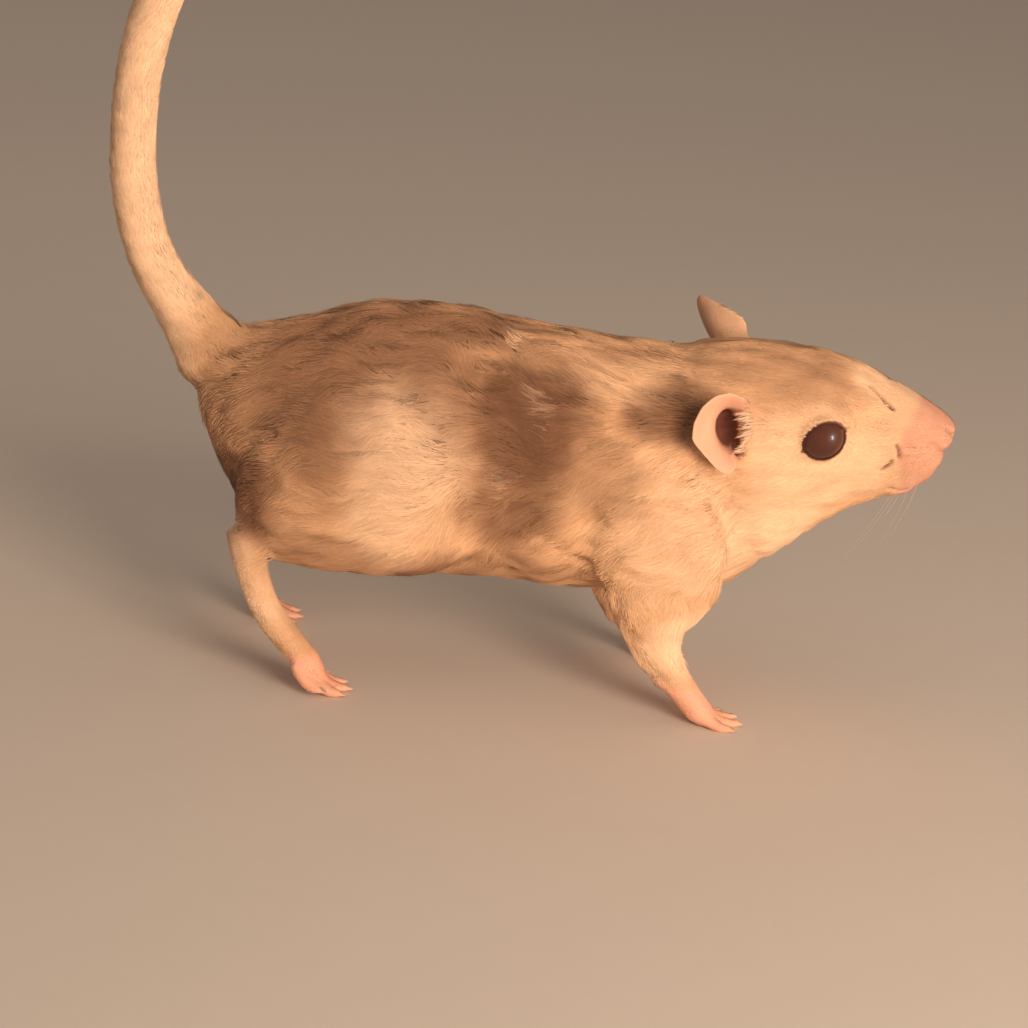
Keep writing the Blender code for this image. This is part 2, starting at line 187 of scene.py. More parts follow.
duller = scaled(FLOOR_COLOUR, 0.97)
floor_material = mottled_material("floor_card", duller, FLOOR_COLOUR, 180.0, Roughness=0.9)
side = np.array([-FLOOR_HALF_WIDTH, FLOOR_HALF_WIDTH])
corners = np.stack([*np.meshgrid(side, side, indexing="ij"), np.zeros((2, 2))], -1).reshape(-1, 3)
floor = make_mesh("floor", corners, grid_faces(2, 2)[:, ::-1], floor_material)
floor.visible_glossy = False


# Light: a large soft box on the right in front, a weaker one overhead, pale surroundings, and a small
# box that is seen only in the wet of the eye.
KEY_COLOUR = (1.0, 0.82, 0.65)
SURROUND_COLOUR = (1.0, 0.86, 0.74)
SURROUND_STRENGTH = 0.29
# Place, width and height of each, its watts, and whether it is only there to be mirrored
SOFT_BOXES = {
    "key": ((285.0, -475.0, 280.0), 240.0, 240.0, 2.3, False),
    "low": ((330.0, -330.0, 50.0), 240.0, 80.0, 1.35, False),
    "top": ((-60.0, -160.0, 620.0), 420.0, 420.0, 0.28, False),
    "glint": ((470.0, -320.0, 70.0), 80.0, 130.0, 0.9, True),
}


def soft_box(name, place, width, height, watts, mirrored):
    """A rectangular lamp turned to the middle of the animal."""
    lamp = bpy.data.lights.new(name, "AREA")
    lamp.shape = "RECTANGLE"
    lamp.size = width * MM
    lamp.size_y = height * MM
    lamp.energy = watts
    lamp.color = (1.0, 1.0, 1.0) if mirrored else KEY_COLOUR
    place = Vector(place)
    turned = (place - LOOK_AT).to_track_quat("Z", "Y").to_matrix().to_4x4()
    obj = bpy.data.objects.new(name, lamp)
    obj.matrix_world = Matrix.Translation(place * MM) @ turned
    obj.visible_glossy = mirrored
    obj.visible_diffuse = not mirrored
    bpy.context.collection.objects.link(obj)


for name, row in SOFT_BOXES.items():
    soft_box(name, *row)
world = bpy.data.worlds.new("surround")
world.use_nodes = True
surround = world.node_tree.nodes["Background"].inputs
surround["Color"].default_value = (*SURROUND_COLOUR, 1)
surround["Strength"].default_value = SURROUND_STRENGTH
bpy.context.scene.world = world
bpy.context.scene.view_settings.view_transform = "Standard"


# Skin: one closed surface over all the flesh, with no seam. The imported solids, which reach out to
# the tips of the coat, are joined and smoothed, and the surface is drawn in by the coat's depth.
# What follows then shapes the ears, lids, nose, mouth and folds in it.
VOXEL = 0.32
OVERLAP = 0.25
SHARE_ROUNDS = 24
GIVE_BACK_ROUNDS = 30
FOOT_KEEP = 0.33
# Each kind of part's nodes, with its coat's depth, tuft length, tuft width and tufts on a square
# millimetre, and its rounds of smoothing
PARTS = {
    "body": (("trunk", "neck"), 1.25, 7.8, 0.46, 8.0, 54),
    "haunch": (("haunch_right", "haunch_left"), 1.1, 6.8, 0.44, 8.5, 54),
    "head": (("head",), 0.55, 3.8, 0.28, 16.0, 36),
    "muzzle": (("muzzle",), 0.12, 1.0, 0.11, 8.0, 8),
    "foreleg": (("foreleg_right", "foreleg_left"), 0.7, 4.4, 0.34, 11.0, 36),
    "hindfoot": (("hindfoot_right", "hindfoot_left"), 0.16, 1.7, 0.18, 16.0, 8),
    "forefoot": (("forefoot_right", "forefoot_left"), 0.12, 1.4, 0.16, 16.0, 8),
    "tail": (("tail_root", "tail_lower", "tail_upper"), 0.6, 3.6, 0.28, 13.0, 42),
    "tuft": (("tail_tuft",), 0.9, 6.5, 0.28, 13.0, 24),
    "ear": (("ear_right", "ear_left"), 0.06, 1.2, 0.10, 12.0, 10),
    "eye": (("eye_right", "eye_left"), 0.1, 0.0, 0.0, 0.0, 5),
}
KIND = {kind: row for row, kind in enumerate(PARTS)}


def read(rows, name, per_row, kind=np.int32):
    """One property of a mesh's points, faces or edges, with so many values for each."""
    values = np.empty(len(rows) * per_row, kind)
    rows.foreach_get(name, values)
    return values


def points_of(mesh):
    """A mesh's points in millimetres."""
    return read(mesh.vertices, "co", 3, np.float32).reshape(-1, 3).astype(float) / MM


def triangles_of(node):
    """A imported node's points in millimetres and its triangles, with points at one place merged."""
    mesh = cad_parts[node].data
    mesh.calc_loop_triangles()
    points, index = np.unique(np.round(points_of(mesh), 3), axis=0, return_inverse=True)
    return points, index.reshape(-1)[read(mesh.loop_triangles, "vertices", 3)].reshape(-1, 3)


def unit(rows):
    return rows / np.maximum(np.linalg.norm(rows, axis=-1, keepdims=True), 1e-9)


def spread(points, faces, rows):
    """Sums one row for each face into the points at its corners."""
    flat = faces.ravel()
    rows = np.repeat(rows, faces.shape[1], axis=0)
    return np.stack([np.bincount(flat, column, len(points)) for column in rows.T], axis=1)


def face_crosses(points, faces):
    """The cross product of each face's diagonals: its normal, as long as twice its area."""
    return np.cross(points[faces[:, 2]] - points[faces[:, 0]], points[faces[:, -1]] - points[faces[:, 1]])


def normals_of(points, faces):
    """Unit normals: each point's sum of the cross products of its faces' diagonals."""
    return unit(spread(points, faces, face_crosses(points, faces)))


def relax(values, edges, rounds, strength=0.85):
    """Draws each row towards the mean of its neighbours' rows. Where rounds is an array, each point
    stops after its own number."""
    a, b = edges.T
    count = np.bincount(edges.ravel(), minlength=len(values))[:, None]
    for number in range(int(np.max(rounds))):
        sums = [np.bincount(a, v[b], len(v)) + np.bincount(b, v[a], len(v)) for v in values.T]
        share = strength * (np.asarray(rounds) > number).reshape(-1, 1)
        values = values + share * (np.stack(sums, axis=1) / count - values)
    return values


def ramp(value, low, high):
    """0 below low, 1 above high and a smooth rise between them, or a fall if low is the larger."""
    t = np.clip((value - low) / (high - low), 0, 1)
    return t * t * (3 - 2 * t)


def nearest_on(points, faces):
    """A function that gives the nearest points of a surface to some places, and their faces."""
    find = BVHTree.FromPolygons(points.tolist(), faces.tolist()).find_nearest

    def nearest(places):
        found = [find(place) for place in places.tolist()]
        return np.array([row[0] for row in found]), np.array([row[2] for row in found])

    return nearest


def evaluated_mesh(obj):
    graph = bpy.context.evaluated_depsgraph_get()
    return bpy.data.meshes.new_from_object(obj.evaluated_get(graph))


flesh_points, flesh_faces, flesh_kinds = [], [], []
counted = 0
for kind, (nodes, *_) in PARTS.items():
    for node in nodes:
        points, faces = triangles_of(node)
        points = points + OVERLAP * normals_of(points, faces)
        flesh_points.append(points)
        flesh_faces.append(faces + counted)
        flesh_kinds.append(np.full(len(points), KIND[kind]))
        counted += len(points)
flesh_points = np.concatenate(flesh_points)
flesh_faces = np.concatenate(flesh_faces)
flesh_kinds = np.concatenate(flesh_kinds)

flesh = make_mesh("flesh", flesh_points, flesh_faces)
fusing = flesh.modifiers.new("fuse", "REMESH")
fusing.mode = "VOXEL"
fusing.voxel_size = VOXEL * MM
fused = evaluated_mesh(flesh)
skin_points = points_of(fused)
skin_faces = read(fused.loops, "vertex_index", 1).reshape(-1, 4)
skin_edges = read(fused.edges, "vertices", 2).reshape(-1, 2)
kinds = flesh_kinds[flesh_faces[nearest_on(flesh_points, flesh_faces)(skin_points)[1], 0]]
bpy.data.objects.remove(flesh)
bpy.data.meshes.remove(fused)


def share_of(*kinds):
    """How much each point of the skin belongs to some kinds of part."""
    return shares[:, [KIND[kind] for kind in kinds]].sum(axis=1)


# Each point's share of each kind of part fades over a few millimetres, so the coat does too
shares = np.eye(len(PARTS))[kinds]
rounds = relax(shares, skin_edges, 6)
on_ear = rounds[:, KIND["ear"]] > 0.15
rounds = np.where(on_ear, PARTS["ear"][5], rounds @ np.array([row[5] for row in PARTS.values()], float))
rough_points = skin_points
skin_points = relax(rough_points, skin_edges, rounds)
shares = relax(shares, skin_edges, SHARE_ROUNDS)
normals = normals_of(skin_points, skin_faces)
# Smoothing draws round forms in, so what was lost is evened out and given back
lost = ((rough_points - skin_points) * normals).sum(axis=1, keepdims=True)
skin_points += relax(lost, skin_edges, GIVE_BACK_ROUNDS) * normals
normals = normals_of(skin_points, skin_faces)
coat_depth = shares @ np.array([row[1] for row in PARTS.values()])
on_foot = share_of("hindfoot", "forefoot")
skin_points -= normals * (OVERLAP + coat_depth - FOOT_KEEP * on_foot)[:, None]
skin_points = relax(skin_points, skin_edges, 2)

# Up to the edge of the lids the coat is the head's
shares[:, KIND["head"]] += shares[:, KIND["eye"]]
shares[:, KIND["eye"]] = 0

# Marks on the skin: how far it is stained dark, which is dark skin at the lids and painted shade in the
# creases and the ears' openings, how much darker or paler its hair is (-1 to 1), where its darkening
# along the creases and folds is painted shade, and how bare and pink it is. The muzzle's pink starts
# so far forward, and is full so much further on.
PINK_FROM = 58.1
PINK_RUN = 3.0
PINK_RUN_ABOVE = 6.0
stain = np.zeros(len(skin_points))
tint = np.zeros(len(skin_points))
level = skin_points[:, 2]
bare = share_of("ear") + on_foot * ramp(level, 9.0, 4.0)
pink_from = PINK_FROM + 0.9 * ramp(level, 46.0, 42.0)
pink_run = PINK_RUN + PINK_RUN_ABOVE * ramp(level, 49.5, 55.5)
bare = np.maximum(bare, ramp((skin_points[:, 0] - pink_from) / pink_run, 0.0, 1.0))


def along_line(points, line):
    """Distance from each point to a bent line of given points."""
    best = np.full(len(points), np.inf)
    for start, end in zip(line[:-1], line[1:]):
        start, run = np.array(start), np.array(end) - start
        share = np.clip((points - start) @ run / (run @ run), 0, 1)[:, None]
        best = np.minimum(best, np.linalg.norm(points - start - share * run, axis=1))
    return best


HEAD_ROLL = math.radians(10.0)
ROLL_AXIS_Z = 48.0


def to_head(points, turn=1):
    """Turns points about the head's long axis into the level head, or back with turn -1."""
    angle = -turn * HEAD_ROLL
    y, z = points[:, 1], points[:, 2] - ROLL_AXIS_Z
    across = y * math.cos(angle) - z * math.sin(angle)
    up = y * math.sin(angle) + z * math.cos(angle)
    return np.stack([points[:, 0], across, up + ROLL_AXIS_Z], axis=1)


# Creases of the face in the level head, on both sides of it: line, half width, depth, stain. The stain is
# painted shade in the crease, and the hair beside it is darkened as painted shade too.
CREASES = {
    "mouth": (((65.4, 0, 41.6), (64.4, 2.4, 40.9), (62, 4.4, 40.3), (59, 5.8, 40.8)), 0.4, 0.6, 0.4),
    "philtrum": (((68.4, 0, 48), (67.2, 0, 45.6), (65.6, 0, 42.4)), 0.32, 0.55, 0.4),
    "nostril": (((68.1, 1, 48.9), (67.7, 1.8, 49.5), (67, 2.4, 50.3)), 0.42, 0.7, 0.5),
    "under nose": (((68, 0, 46.6), (67, 2.4, 46.6), (65.9, 4, 47.2), (65, 5, 48.6)), 1, 0.85, 0),
    "pad hollow": (((62.6, 5, 50.3), (61.2, 6, 49.6)), 1.7, 0.35, 0.12),
    "pad back": (((59.1, 7.1, 49.2), (59.5, 6.8, 48.2), (59.6, 6.4, 47.2)), 0.34, 0.6, 0.62),
    "pad corner": (((58.7, 7.5, 46.4), (58.1, 7.6, 45.4), (57.4, 7.7, 44.8)), 0.32, 0.5, 0.75),
    "snout": (((54, 3.1, 57.9), (56, 4.2, 56.5), (57.9, 5.1, 54.9)), 0.34, 0.6, 0.82),
}
# Folds of the body, then those on the right side only: line, half width, depth and tint. A tint below 0
# is painted shade along the fold, as under the ear and in the parting; one above 0 is paler hair.
BOTH_FOLDS = {
    "flank": (((-9, 14, 56), (-3.5, 16, 50), (0, 16.5, 43), (1.5, 16.5, 36), (0.5, 15, 28), (-1.5, 11, 22)),
              3.8, 1.6, -0.15),
    "groin": (((-1.2, 16.3, 35), (-2.2, 15, 28.5), (-5.2, 11.6, 22.9), (-9, 11, 20.5)), 1.5, 0.9, -0.4),
    "haunch": (((-29, 19.8, 42.6), (-25.5, 20, 42.9), (-21.8, 19.8, 43.4)), 0.8, 0.45, -0.35),
    "hip": (((-43, 14.1, 42.8), (-38.1, 16.6, 44.1)), 0.9, 0.4, -0.25),
    "tail foot": (((-51.5, 6, 47.6), (-49.3, 8.5, 48.7), (-47.6, 9.3, 50.2), (-45.5, 8, 52)), 1.1, 0.8, -0.5),
    "jaw": (((60, 3, 38), (54, 4, 35), (47, 5, 31), (41, 6, 27)), 4, -0.7, 0),
    "armpit": (((5, 14.8, 29.4), (9, 13.6, 26), (12.9, 11.9, 24)), 1.3, 0.8, -0.4),
    "knee": (((-6.2, 16.7, 39.8), (-4.3, 16.6, 36.7)), 1.5, -0.25, 0.3),
}
RIGHT_FOLDS = {
    "croup": (((-39.5, -6.4, 55.1), (-36.5, -6, 56.2), (-34, -5.4, 56.9)), 0.8, 0.4, -0.35),
    "shoulder": (((18.5, -12.4, 49.3), (13.5, -14, 47.2), (8, -15.3, 44)), 0.8, 0.5, -0.25),
    "below ear": (((33.2, -12.2, 42), (35.3, -11.7, 41.3), (38.4, -11.4, 41.9)), 1.1, 0.4, -0.9),
    "parting": (((-18.5, -7.1, 59.7), (-11.1, -7.5, 59.4), (-4.3, -6.7, 59), (-1.5, -7.6, 58.2)),
                0.9, 0.7, -0.6),
    "back": (((-31.5, -0.6, 59.2), (-29.5, -1.6, 59.4)), 0.9, 0.4, -0.6),
    "mantle": (((-4.6, -4.2, 60.2), (-2.6, -5.6, 59.4)), 1, -0.3, 0.45),
    "withers": (((-1.2, -11.7, 54.5), (0.2, -12.8, 52.6), (1, -14.3, 49.6)), 0.9, -0.2, 0.35),
}


LINE_STEPS = 6
smooth_skin = nearest_on(skin_points, skin_faces)


def on_both_sides(line):
    line = np.array(line, float)
    return line, line * [1, -1, 1]


def distance_to(points, lines):
    """Distance from each point to the nearest of some lines, once these are cut into short steps and
    laid on the skin."""
    best = np.full(len(points), np.inf)
    for line in lines:
        line = np.array(line, float)
        whole = np.arange(len(line))
        fine = np.linspace(0, len(line) - 1, LINE_STEPS * (len(line) - 1) + 1)
        fine = np.stack([np.interp(fine, whole, column) for column in line.T], axis=1)
        best = np.minimum(best, along_line(points, smooth_skin(fine)[0]))
    return best


def bell(away, half_width):
    """1 at no distance and less further away."""
    return np.exp(-((away / half_width) ** 2))


on_face = np.flatnonzero(skin_points[:, 0] > 50)
sink = np.zeros(len(skin_points))
# Each crease is sunk, and darkened on the skin and on the hair beside it as painted shade
for line, half_width, depth, dark in CREASES.values():
    lines = [to_head(side, -1) for side in on_both_sides(line)]
    away = distance_to(skin_points[on_face], lines)
    sink[on_face] += depth * bell(away, half_width)
    stain[on_face] = np.maximum(stain[on_face], dark * bell(away, half_width))
    tint[on_face] -= 0.5 * dark * bell(away, 1.5 * half_width)
folds = [(on_both_sides(line), *row) for line, *row in BOTH_FOLDS.values()]
folds += [((line,), *row) for line, *row in RIGHT_FOLDS.values()]
# Each fold is sunk, and a tint below 0 darkens the hair along it as painted shade
for lines, half_width, depth, shade in folds:
    away = distance_to(skin_points, lines)
    sink += depth * bell(away, half_width)
    tint += shade * bell(away, 1.1 * half_width)
skin_points -= sink[:, None] * normals_of(skin_points, skin_faces)


# Lids: the skin is opened over each eyeball in a round that runs out to a point at both corners,
# and stands a little over the ball round it
EYE_RADIUS = 4.0
EYES = {"right": -1, "left": 1}
OPENING_HALF_WIDTH = 3.4
OPENING_HALF_HEIGHT = 2.95
OPENING_DROP = 0.45
CORNER_FRONT = 4.1
CORNER_REAR = 3.9
CORNER_SLOPE = 0.6
OPENING_TURN = math.radians(31.0)
LID_THICKNESS = 0.26
UNDER_LID = 0.45
CORNER_DEPTH = 0.30
# Past the opening's edge by this much the skin is eased, in rounds, and stays clear of the ball
LID_EDGE = 0.6
LID_ROUNDS = 10
LID_CLEAR = 0.1


def eye_axes(word):
    """An eyeball's centre, and the directions from its rear corner to its front one, up across
    that, and out of the head."""
    low, high = (np.array(corner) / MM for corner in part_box("eye_" + word))
    out = to_head(np.array([[0.16, EYES[word] * 0.96, 0.22 + ROLL_AXIS_Z]]), -1)[0] - [0, 0, ROLL_AXIS_Z]
    out = unit(out)
    along = np.array([math.cos(OPENING_TURN), 0, math.sin(OPENING_TURN)])
    along = unit(along - along @ out * out)
    return (low + high) / 2, along, np.cross(out, along) * -EYES[word], out


def opening_half_height(s):
    """Half the height of the opening s in front of its middle: an oval with a narrow point run out
    of it at both corners."""
    oval = OPENING_HALF_HEIGHT * np.sqrt(np.clip(1 - (s / OPENING_HALF_WIDTH) ** 2, 0, 1))
    corner = CORNER_SLOPE * (np.where(s > 0, CORNER_FRONT, CORNER_REAR) - np.abs(s))
    return np.where(np.abs(s) > 0.8 * OPENING_HALF_WIDTH, np.maximum(oval, corner), oval)


def opening_outline(number=90):
    """The opening's edge as a closed line of places along it and up across it."""
    s = np.linspace(-CORNER_REAR, CORNER_FRONT, number)
    t = opening_half_height(s)
    return np.concatenate([np.stack([s, t], 1), np.stack([s, -t], 1)[-2::-1]])


for word in EYES:
    centre, along, up, out = eye_axes(word)
    from_centre = skin_points - centre
    radius = np.linalg.norm(from_centre, axis=1)
    near = np.flatnonzero((radius < 2.0 * EYE_RADIUS) & (from_centre @ out > 0))
    ray = from_centre[near] / radius[near, None]
    base = np.maximum(radius[near], EYE_RADIUS)
    flat = base[:, None] * np.stack([ray @ along, ray @ up], axis=1) + [0, OPENING_DROP]
    inside = np.abs(flat[:, 1]) < opening_half_height(flat[:, 0])
    beyond = along_line(flat, opening_outline()) * np.where(inside, -1, 1)
    closed = np.maximum(radius[near], EYE_RADIUS + LID_THICKNESS * (1 - ramp(beyond, 0.4, 1.6)))
    opened = EYE_RADIUS - UNDER_LID
    opened = opened + (closed - CORNER_DEPTH - opened) * ramp(np.hypot(*flat.T), 3.5, 4.1)
    new_radius = opened + (closed - opened) * ramp(beyond, -0.16, 0.16)
    skin_points[near] = centre + ray * new_radius[:, None]
    easing = np.zeros(len(skin_points))
    easing[near] = LID_ROUNDS * (beyond > LID_EDGE) * (radius[near] < 1.8 * EYE_RADIUS)
    skin_points = relax(skin_points, skin_edges, easing)
    from_centre = skin_points[near] - centre
    eased = np.linalg.norm(from_centre, axis=1, keepdims=True)
    least = np.where(beyond > LID_EDGE, EYE_RADIUS + LID_CLEAR, 0)[:, None]
    skin_points[near] = centre + from_centre / eased * np.maximum(eased, least)
    corner = ramp(np.hypot(*flat.T), 3.9, 4.5)
    stain[near] = np.maximum(stain[near], (1 - ramp(beyond, 0.05, 0.34)) * (1 - 0.5 * corner))

# Ears: each is pressed in to a deep opening in front of its middle, both walls together. The rows
# are its foot, the way it points, the way its hollow faces and which way round it is, as packed.
EAR_HEIGHT = 12.9
EAR_WIDTH = 10.3
EARS = {
    "right": ((32.6, -13.4, 42.9), (-0.18, -0.08, 0.98), (0.28, -0.93, 0.18), 1),
    "left": ((37.0, 8.8, 54.4), (-0.73, 0.25, 0.64), (0.66, 0.62, 0.42), -1),
}
CANAL_FORWARD = 1.4
CANAL_UP = 6.5
CANAL_HALF_WIDTH = 2.0
CANAL_HALF_HEIGHT = 3.6
# The notch that runs down and forwards out of the opening: forward, up and half sizes
NOTCH = (2.6, 3.1, 0.9, 1.8)
CANAL_DEPTH = {"right": 2.2, "left": 0.4}
EAR_BOWL = 0.35
# How much the ears are swelled about a height, and each tip drawn out and in to a point
EAR_SWELL = 0.12
SWELL_FROM = 4.5
EAR_POINT = {"right": 0.0, "left": 1.3}
POINT_UP = 0.9
POINT_IN = 0.32
# How much of the hair on its back shows its pink, and how pale that hair is
BACK_HAIR = 0.55
BACK_PALE = 0.5
inner_ear = np.zeros(len(skin_points))


def ear_places(word):
    """The skin's points in an ear's own directions, forwards across it, up from its foot and out of
    its hollow, and these directions."""
    foot, up, face, front = EARS[word]
    up = unit(np.array(up))
    face = unit(face - np.dot(face, up) * up)
    ways = np.stack([front * np.cross(up, face), up, face])
    return (skin_points - foot) @ ways.T, ways


for word in EARS:
    place, (forward, up, face) = ear_places(word)
    across, height = place[:, :1], place[:, 1:2]
    own = (share_of("ear") * (np.sign(skin_points[:, 1]) == EYES[word]))[:, None]
    tip = EAR_POINT[word] * ramp(height, 6.0, EAR_HEIGHT) * (own > 0)
    skin_points += EAR_SWELL * own * (across * forward + (height - SWELL_FROM) * up)
    skin_points += tip * (POINT_UP * up - POINT_IN * across * forward)
normals = normals_of(skin_points, skin_faces)
for word in EARS:
    place, ways = ear_places(word)
    (across, height, out), face = place.T, ways[2]
    rim = np.hypot(across / (EAR_WIDTH / 2), (height - EAR_HEIGHT / 2) / (EAR_HEIGHT / 2)) / (1 + EAR_SWELL)
    own = (rim < 1.05) * (out < 1.5) * (out > -3.6) * (share_of("ear") > 0.2)
    front = ramp(normals @ face, 0.05, 0.35)
    hollow = own * front
    canal = np.hypot((across - CANAL_FORWARD) / CANAL_HALF_WIDTH, (height - CANAL_UP) / CANAL_HALF_HEIGHT)
    notch = np.hypot((across - NOTCH[0]) / NOTCH[2], (height - NOTCH[1]) / NOTCH[3])
    inward = np.minimum(canal, notch)
    deep = hollow * (1 - ramp(inward, 0.72, 1.08))
    bowl = hollow * ramp(inward, 2.0, 1.0)
    back = own * (1 - front)
    sunk = CANAL_DEPTH[word] * (deep + back * ramp(inward, 1.6, 0.3))
    sunk += EAR_BOWL * (bowl + back * ramp(inward, 2.0, 1.0))
    skin_points -= sunk[:, None] * face
    furred = share_of("ear") * ramp(across, 3.0, 4.0) * ramp(normals @ face, -0.5, 0.1)
    furred *= np.sign(skin_points[:, 1]) == EYES[word]
    shares[:, KIND["ear"]] -= furred
    shares[:, KIND["head"]] += furred
    bare -= furred + BACK_HAIR * back
    tint = np.maximum(tint, BACK_PALE * back)
    inner_ear = np.maximum(inner_ear, hollow * (1 - ramp(across, 2.6, 3.6)))
    # The ear's opening and the bowl round it are stained dark as painted shade in the hollow
    stain = np.maximum(stain, np.maximum(deep, 0.3 * bowl))
skin_points = relax(skin_points, skin_edges, np.where(inner_ear > 0.1, 2, 0))
normals = normals_of(skin_points, skin_faces)


# Colours of the coat, and where each lies. Skin and coat take them from the same fields, so the
# markings run through both, and so do the painted shade and painted light that the fields also hold.
GOLDEN = (0.66, 0.365, 0.195)
CREAM = (0.85, 0.545, 0.345)
BROWN = (0.188, 0.086, 0.045)
DEEP_BROWN = (0.12, 0.052, 0.028)
PINK = (0.80, 0.375, 0.245)
NOSE_PINK = (0.56, 0.250, 0.162)
EAR_PINK = (0.72, 0.375, 0.25)
MAROON = (0.170, 0.060, 0.039)


# Darker and paler fields of the coat: middle, radii and strength. The same ones lie on both sides, but
# the dark ones have lost this share on the left, which the photograph does not show.
FAR_LOSS = 0.4
# The dark fields are partly the coat's browner back and partly painted shade: behind the shoulder, behind the
# ear, on the rump and under the body, turned away from the light at the front right
DARK_AND_SHADED_FIELDS = (
    ((-26, 10, 50), (34, 40, 26), 0.85),
    ((1, 14, 48), (17, 16, 19), 1),
    ((-1, 14, 36), (11, 14, 15), 0.85),
    ((-44, 10, 42), (16, 24, 22), 0.65),
    ((-18, 0, 62), (36, 26, 10), 0.9),
    ((22, 12, 50.5), (10, 9, 7.5), 0.85),
    ((34, 4, 60), (20, 12, 9), 0.35),
    ((42, 5, 57), (15, 10, 8), 0.5),
    ((14, 0, 61), (17, 16, 9), 0.4),
    ((13, 15, 41), (10, 9, 10), 0.5),
    ((-44, 12, 32), (16, 18, 13), 1),
    ((-29, 18, 24), (15, 10, 9), 0.55),
    ((-12, 16, 21), (14, 10, 7), 0.8),
    ((-2, 8, 22), (18, 14, 8), 0.5),
)
# The pale fields are partly the cream of the cheeks, throat, wrists and hocks and partly painted light, on
# the front of the haunch and the throat, with a painted highlight along the top of the snout
PALE_AND_LIT_FIELDS = (
    ((-18.5, 18, 39), (12.5, 16, 21), 0.65),
    ((14, 8, 55), (14, 8, 6), 0.2),
    ((26, 12, 32), (16, 14, 20), 0.35),
    ((48, 10, 44), (20, 12, 13), 0.6),
    ((40, 7, 30), (17, 12, 13), 0.85),
    ((58, 2, 56), (12, 8, 8), 0.6),
    ((28, 13, 12), (10, 8, 9), 1),
    ((-45.5, 14, 15), (14, 8, 18), 1),
)


def mark(shading, name):
    """One of the values kept at the points of a piece."""
    return shading.node("Attribute", {"attribute_name": name}, out=2)


def strongest(place, fields):
    """The strongest of some fields at a place: each fades from its middle to its radii."""
    found = None
    for centre, radii, strength in fields:
        away = place.vector("SUBTRACT", centre).vector("DIVIDE", radii).vector("LENGTH", out=1)
        here = away.ramp(1.0, 0.35) * strength
        found = found.math("MAXIMUM", found, here) if found else here
    return found


def coat_colour(shading):
    """The coat's colour at a place, from fields of brown and cream over gold, which are partly painted shade
    and painted light, and from its tint, which is partly painted shade.
    """
    place = shading.node("TexCoord", out=3).vector("MULTIPLY", (1 / MM,) * 3)
    wander = shading.node("TexNoise", {}, {"Vector": place, "Scale": 0.11}, out=1)
    place = place.vector("ADD", wander.vector("MULTIPLY_ADD", (9,) * 3, (-4.5,) * 3))
    forward, side, height = (place.part(number) for number in range(3))
    place = shading.node("CombineXYZ", {}, {0: forward, 1: side.math("ABSOLUTE", side), 2: height})
    tail = forward.ramp(-50.0, -56.0) * height.ramp(44.0, 50.0) * 0.9
    pale = tail.math("MAXIMUM", strongest(place, PALE_AND_LIT_FIELDS), tail)
    dark = strongest(place, DARK_AND_SHADED_FIELDS) * (1 - tail)
    dark = dark * (side.ramp(4.0, -4.0) * FAR_LOSS + (1 - FAR_LOSS))
    ground = pale.mix(dark.mix(GOLDEN, BROWN), CREAM)
    shade = mark(shading, "tint")
    return shade.ramp(0.0, 1.0).mix((shade * -1.0).ramp(0.0, 1.0).mix(ground, DEEP_BROWN), CREAM)


def pink_colour(shading):
    """The colour of bare skin at a place: paler on the ears and deeper on the muzzle."""
    place = shading.node("TexCoord", out=3).vector("MULTIPLY", (1 / MM,) * 3)
    behind = place.part(2).ramp(18.0, 34.0).mix(PINK, EAR_PINK)
    return place.part(0).ramp(46.0, 52.0).mix(behind, NOSE_PINK)


skin_material, shading, shader = new_material("gerbil_skin", Specular_IOR_Level=0.3)
stained, pinkness, hollow = (mark(shading, name) for name in ("stain", "bare", "inner_ear"))
cells = shading.node("TexCoord", out=3)
mottle = shading.node("TexNoise", {}, {"Vector": cells, "Scale": 420.0, "Detail": 4.0})
under_fur = (mottle * 0.12 + 0.06).mix(coat_colour(shading), DEEP_BROWN)
pink_skin = (mottle * 0.4).mix(pink_colour(shading), CREAM)
colour = (hollow * 0.3).mix(pinkness.ramp(0.25, 0.75).mix(under_fur, pink_skin), PINK)
# The stain turns the skin maroon: dark skin at the lids, painted shade in the creases and ears' openings
connect(stained.ramp(0.0, 0.9).mix(colour, MAROON), shader, "Base Color")
connect(mottle * 0.2 + 0.5, shader, "Roughness")
pores = shading.node("TexNoise", {}, {"Vector": cells, "Scale": 1500.0, "Detail": 3.0})
bump = shading.node("Bump", {}, {"Height": pores, "Distance": 0.00006, "Strength": 0.6})
connect(bump, shader, "Normal")

SKIN_FACES = 94000


def keep_values(obj, **values):
    """Keeps a value for each point of a mesh, for its material."""
    for name, value in values.items():
        layer = obj.data.attributes.new(name, "FLOAT", "POINT")
        layer.data.foreach_set("value", np.ascontiguousarray(value, np.float32))


dense = make_mesh("skin_dense", skin_points, skin_faces, skin_material)
keep_values(dense, stain=stain, bare=bare, inner_ear=inner_ear, tint=tint)
thinning = dense.modifiers.new("thin", "DECIMATE")
thinning.ratio = SKIN_FACES / len(skin_faces)
skin = bpy.data.objects.new("skin", evaluated_mesh(dense))
skin.data.shade_smooth()
bpy.context.collection.objects.link(skin)
bpy.data.objects.remove(dense)
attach(skin, "root")
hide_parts(*(node for kind, row in PARTS.items() if kind != "eye" for node in row[0]))


# Eyeballs: each a round ball of dark jelly, wet, in its socket
EYE_DARK = (0.050, 0.013, 0.005)
EYE_RIM = (0.115, 0.031, 0.013)
BALL_ROWS = 40
BALL_COLUMNS = 64
wet = {"Roughness": 0.4, "Coat_Weight": 0.4, "Coat_Roughness": 0.03}
eye_material = mottled_material("gerbil_eye", EYE_DARK, EYE_RIM, 260.0, **wet)


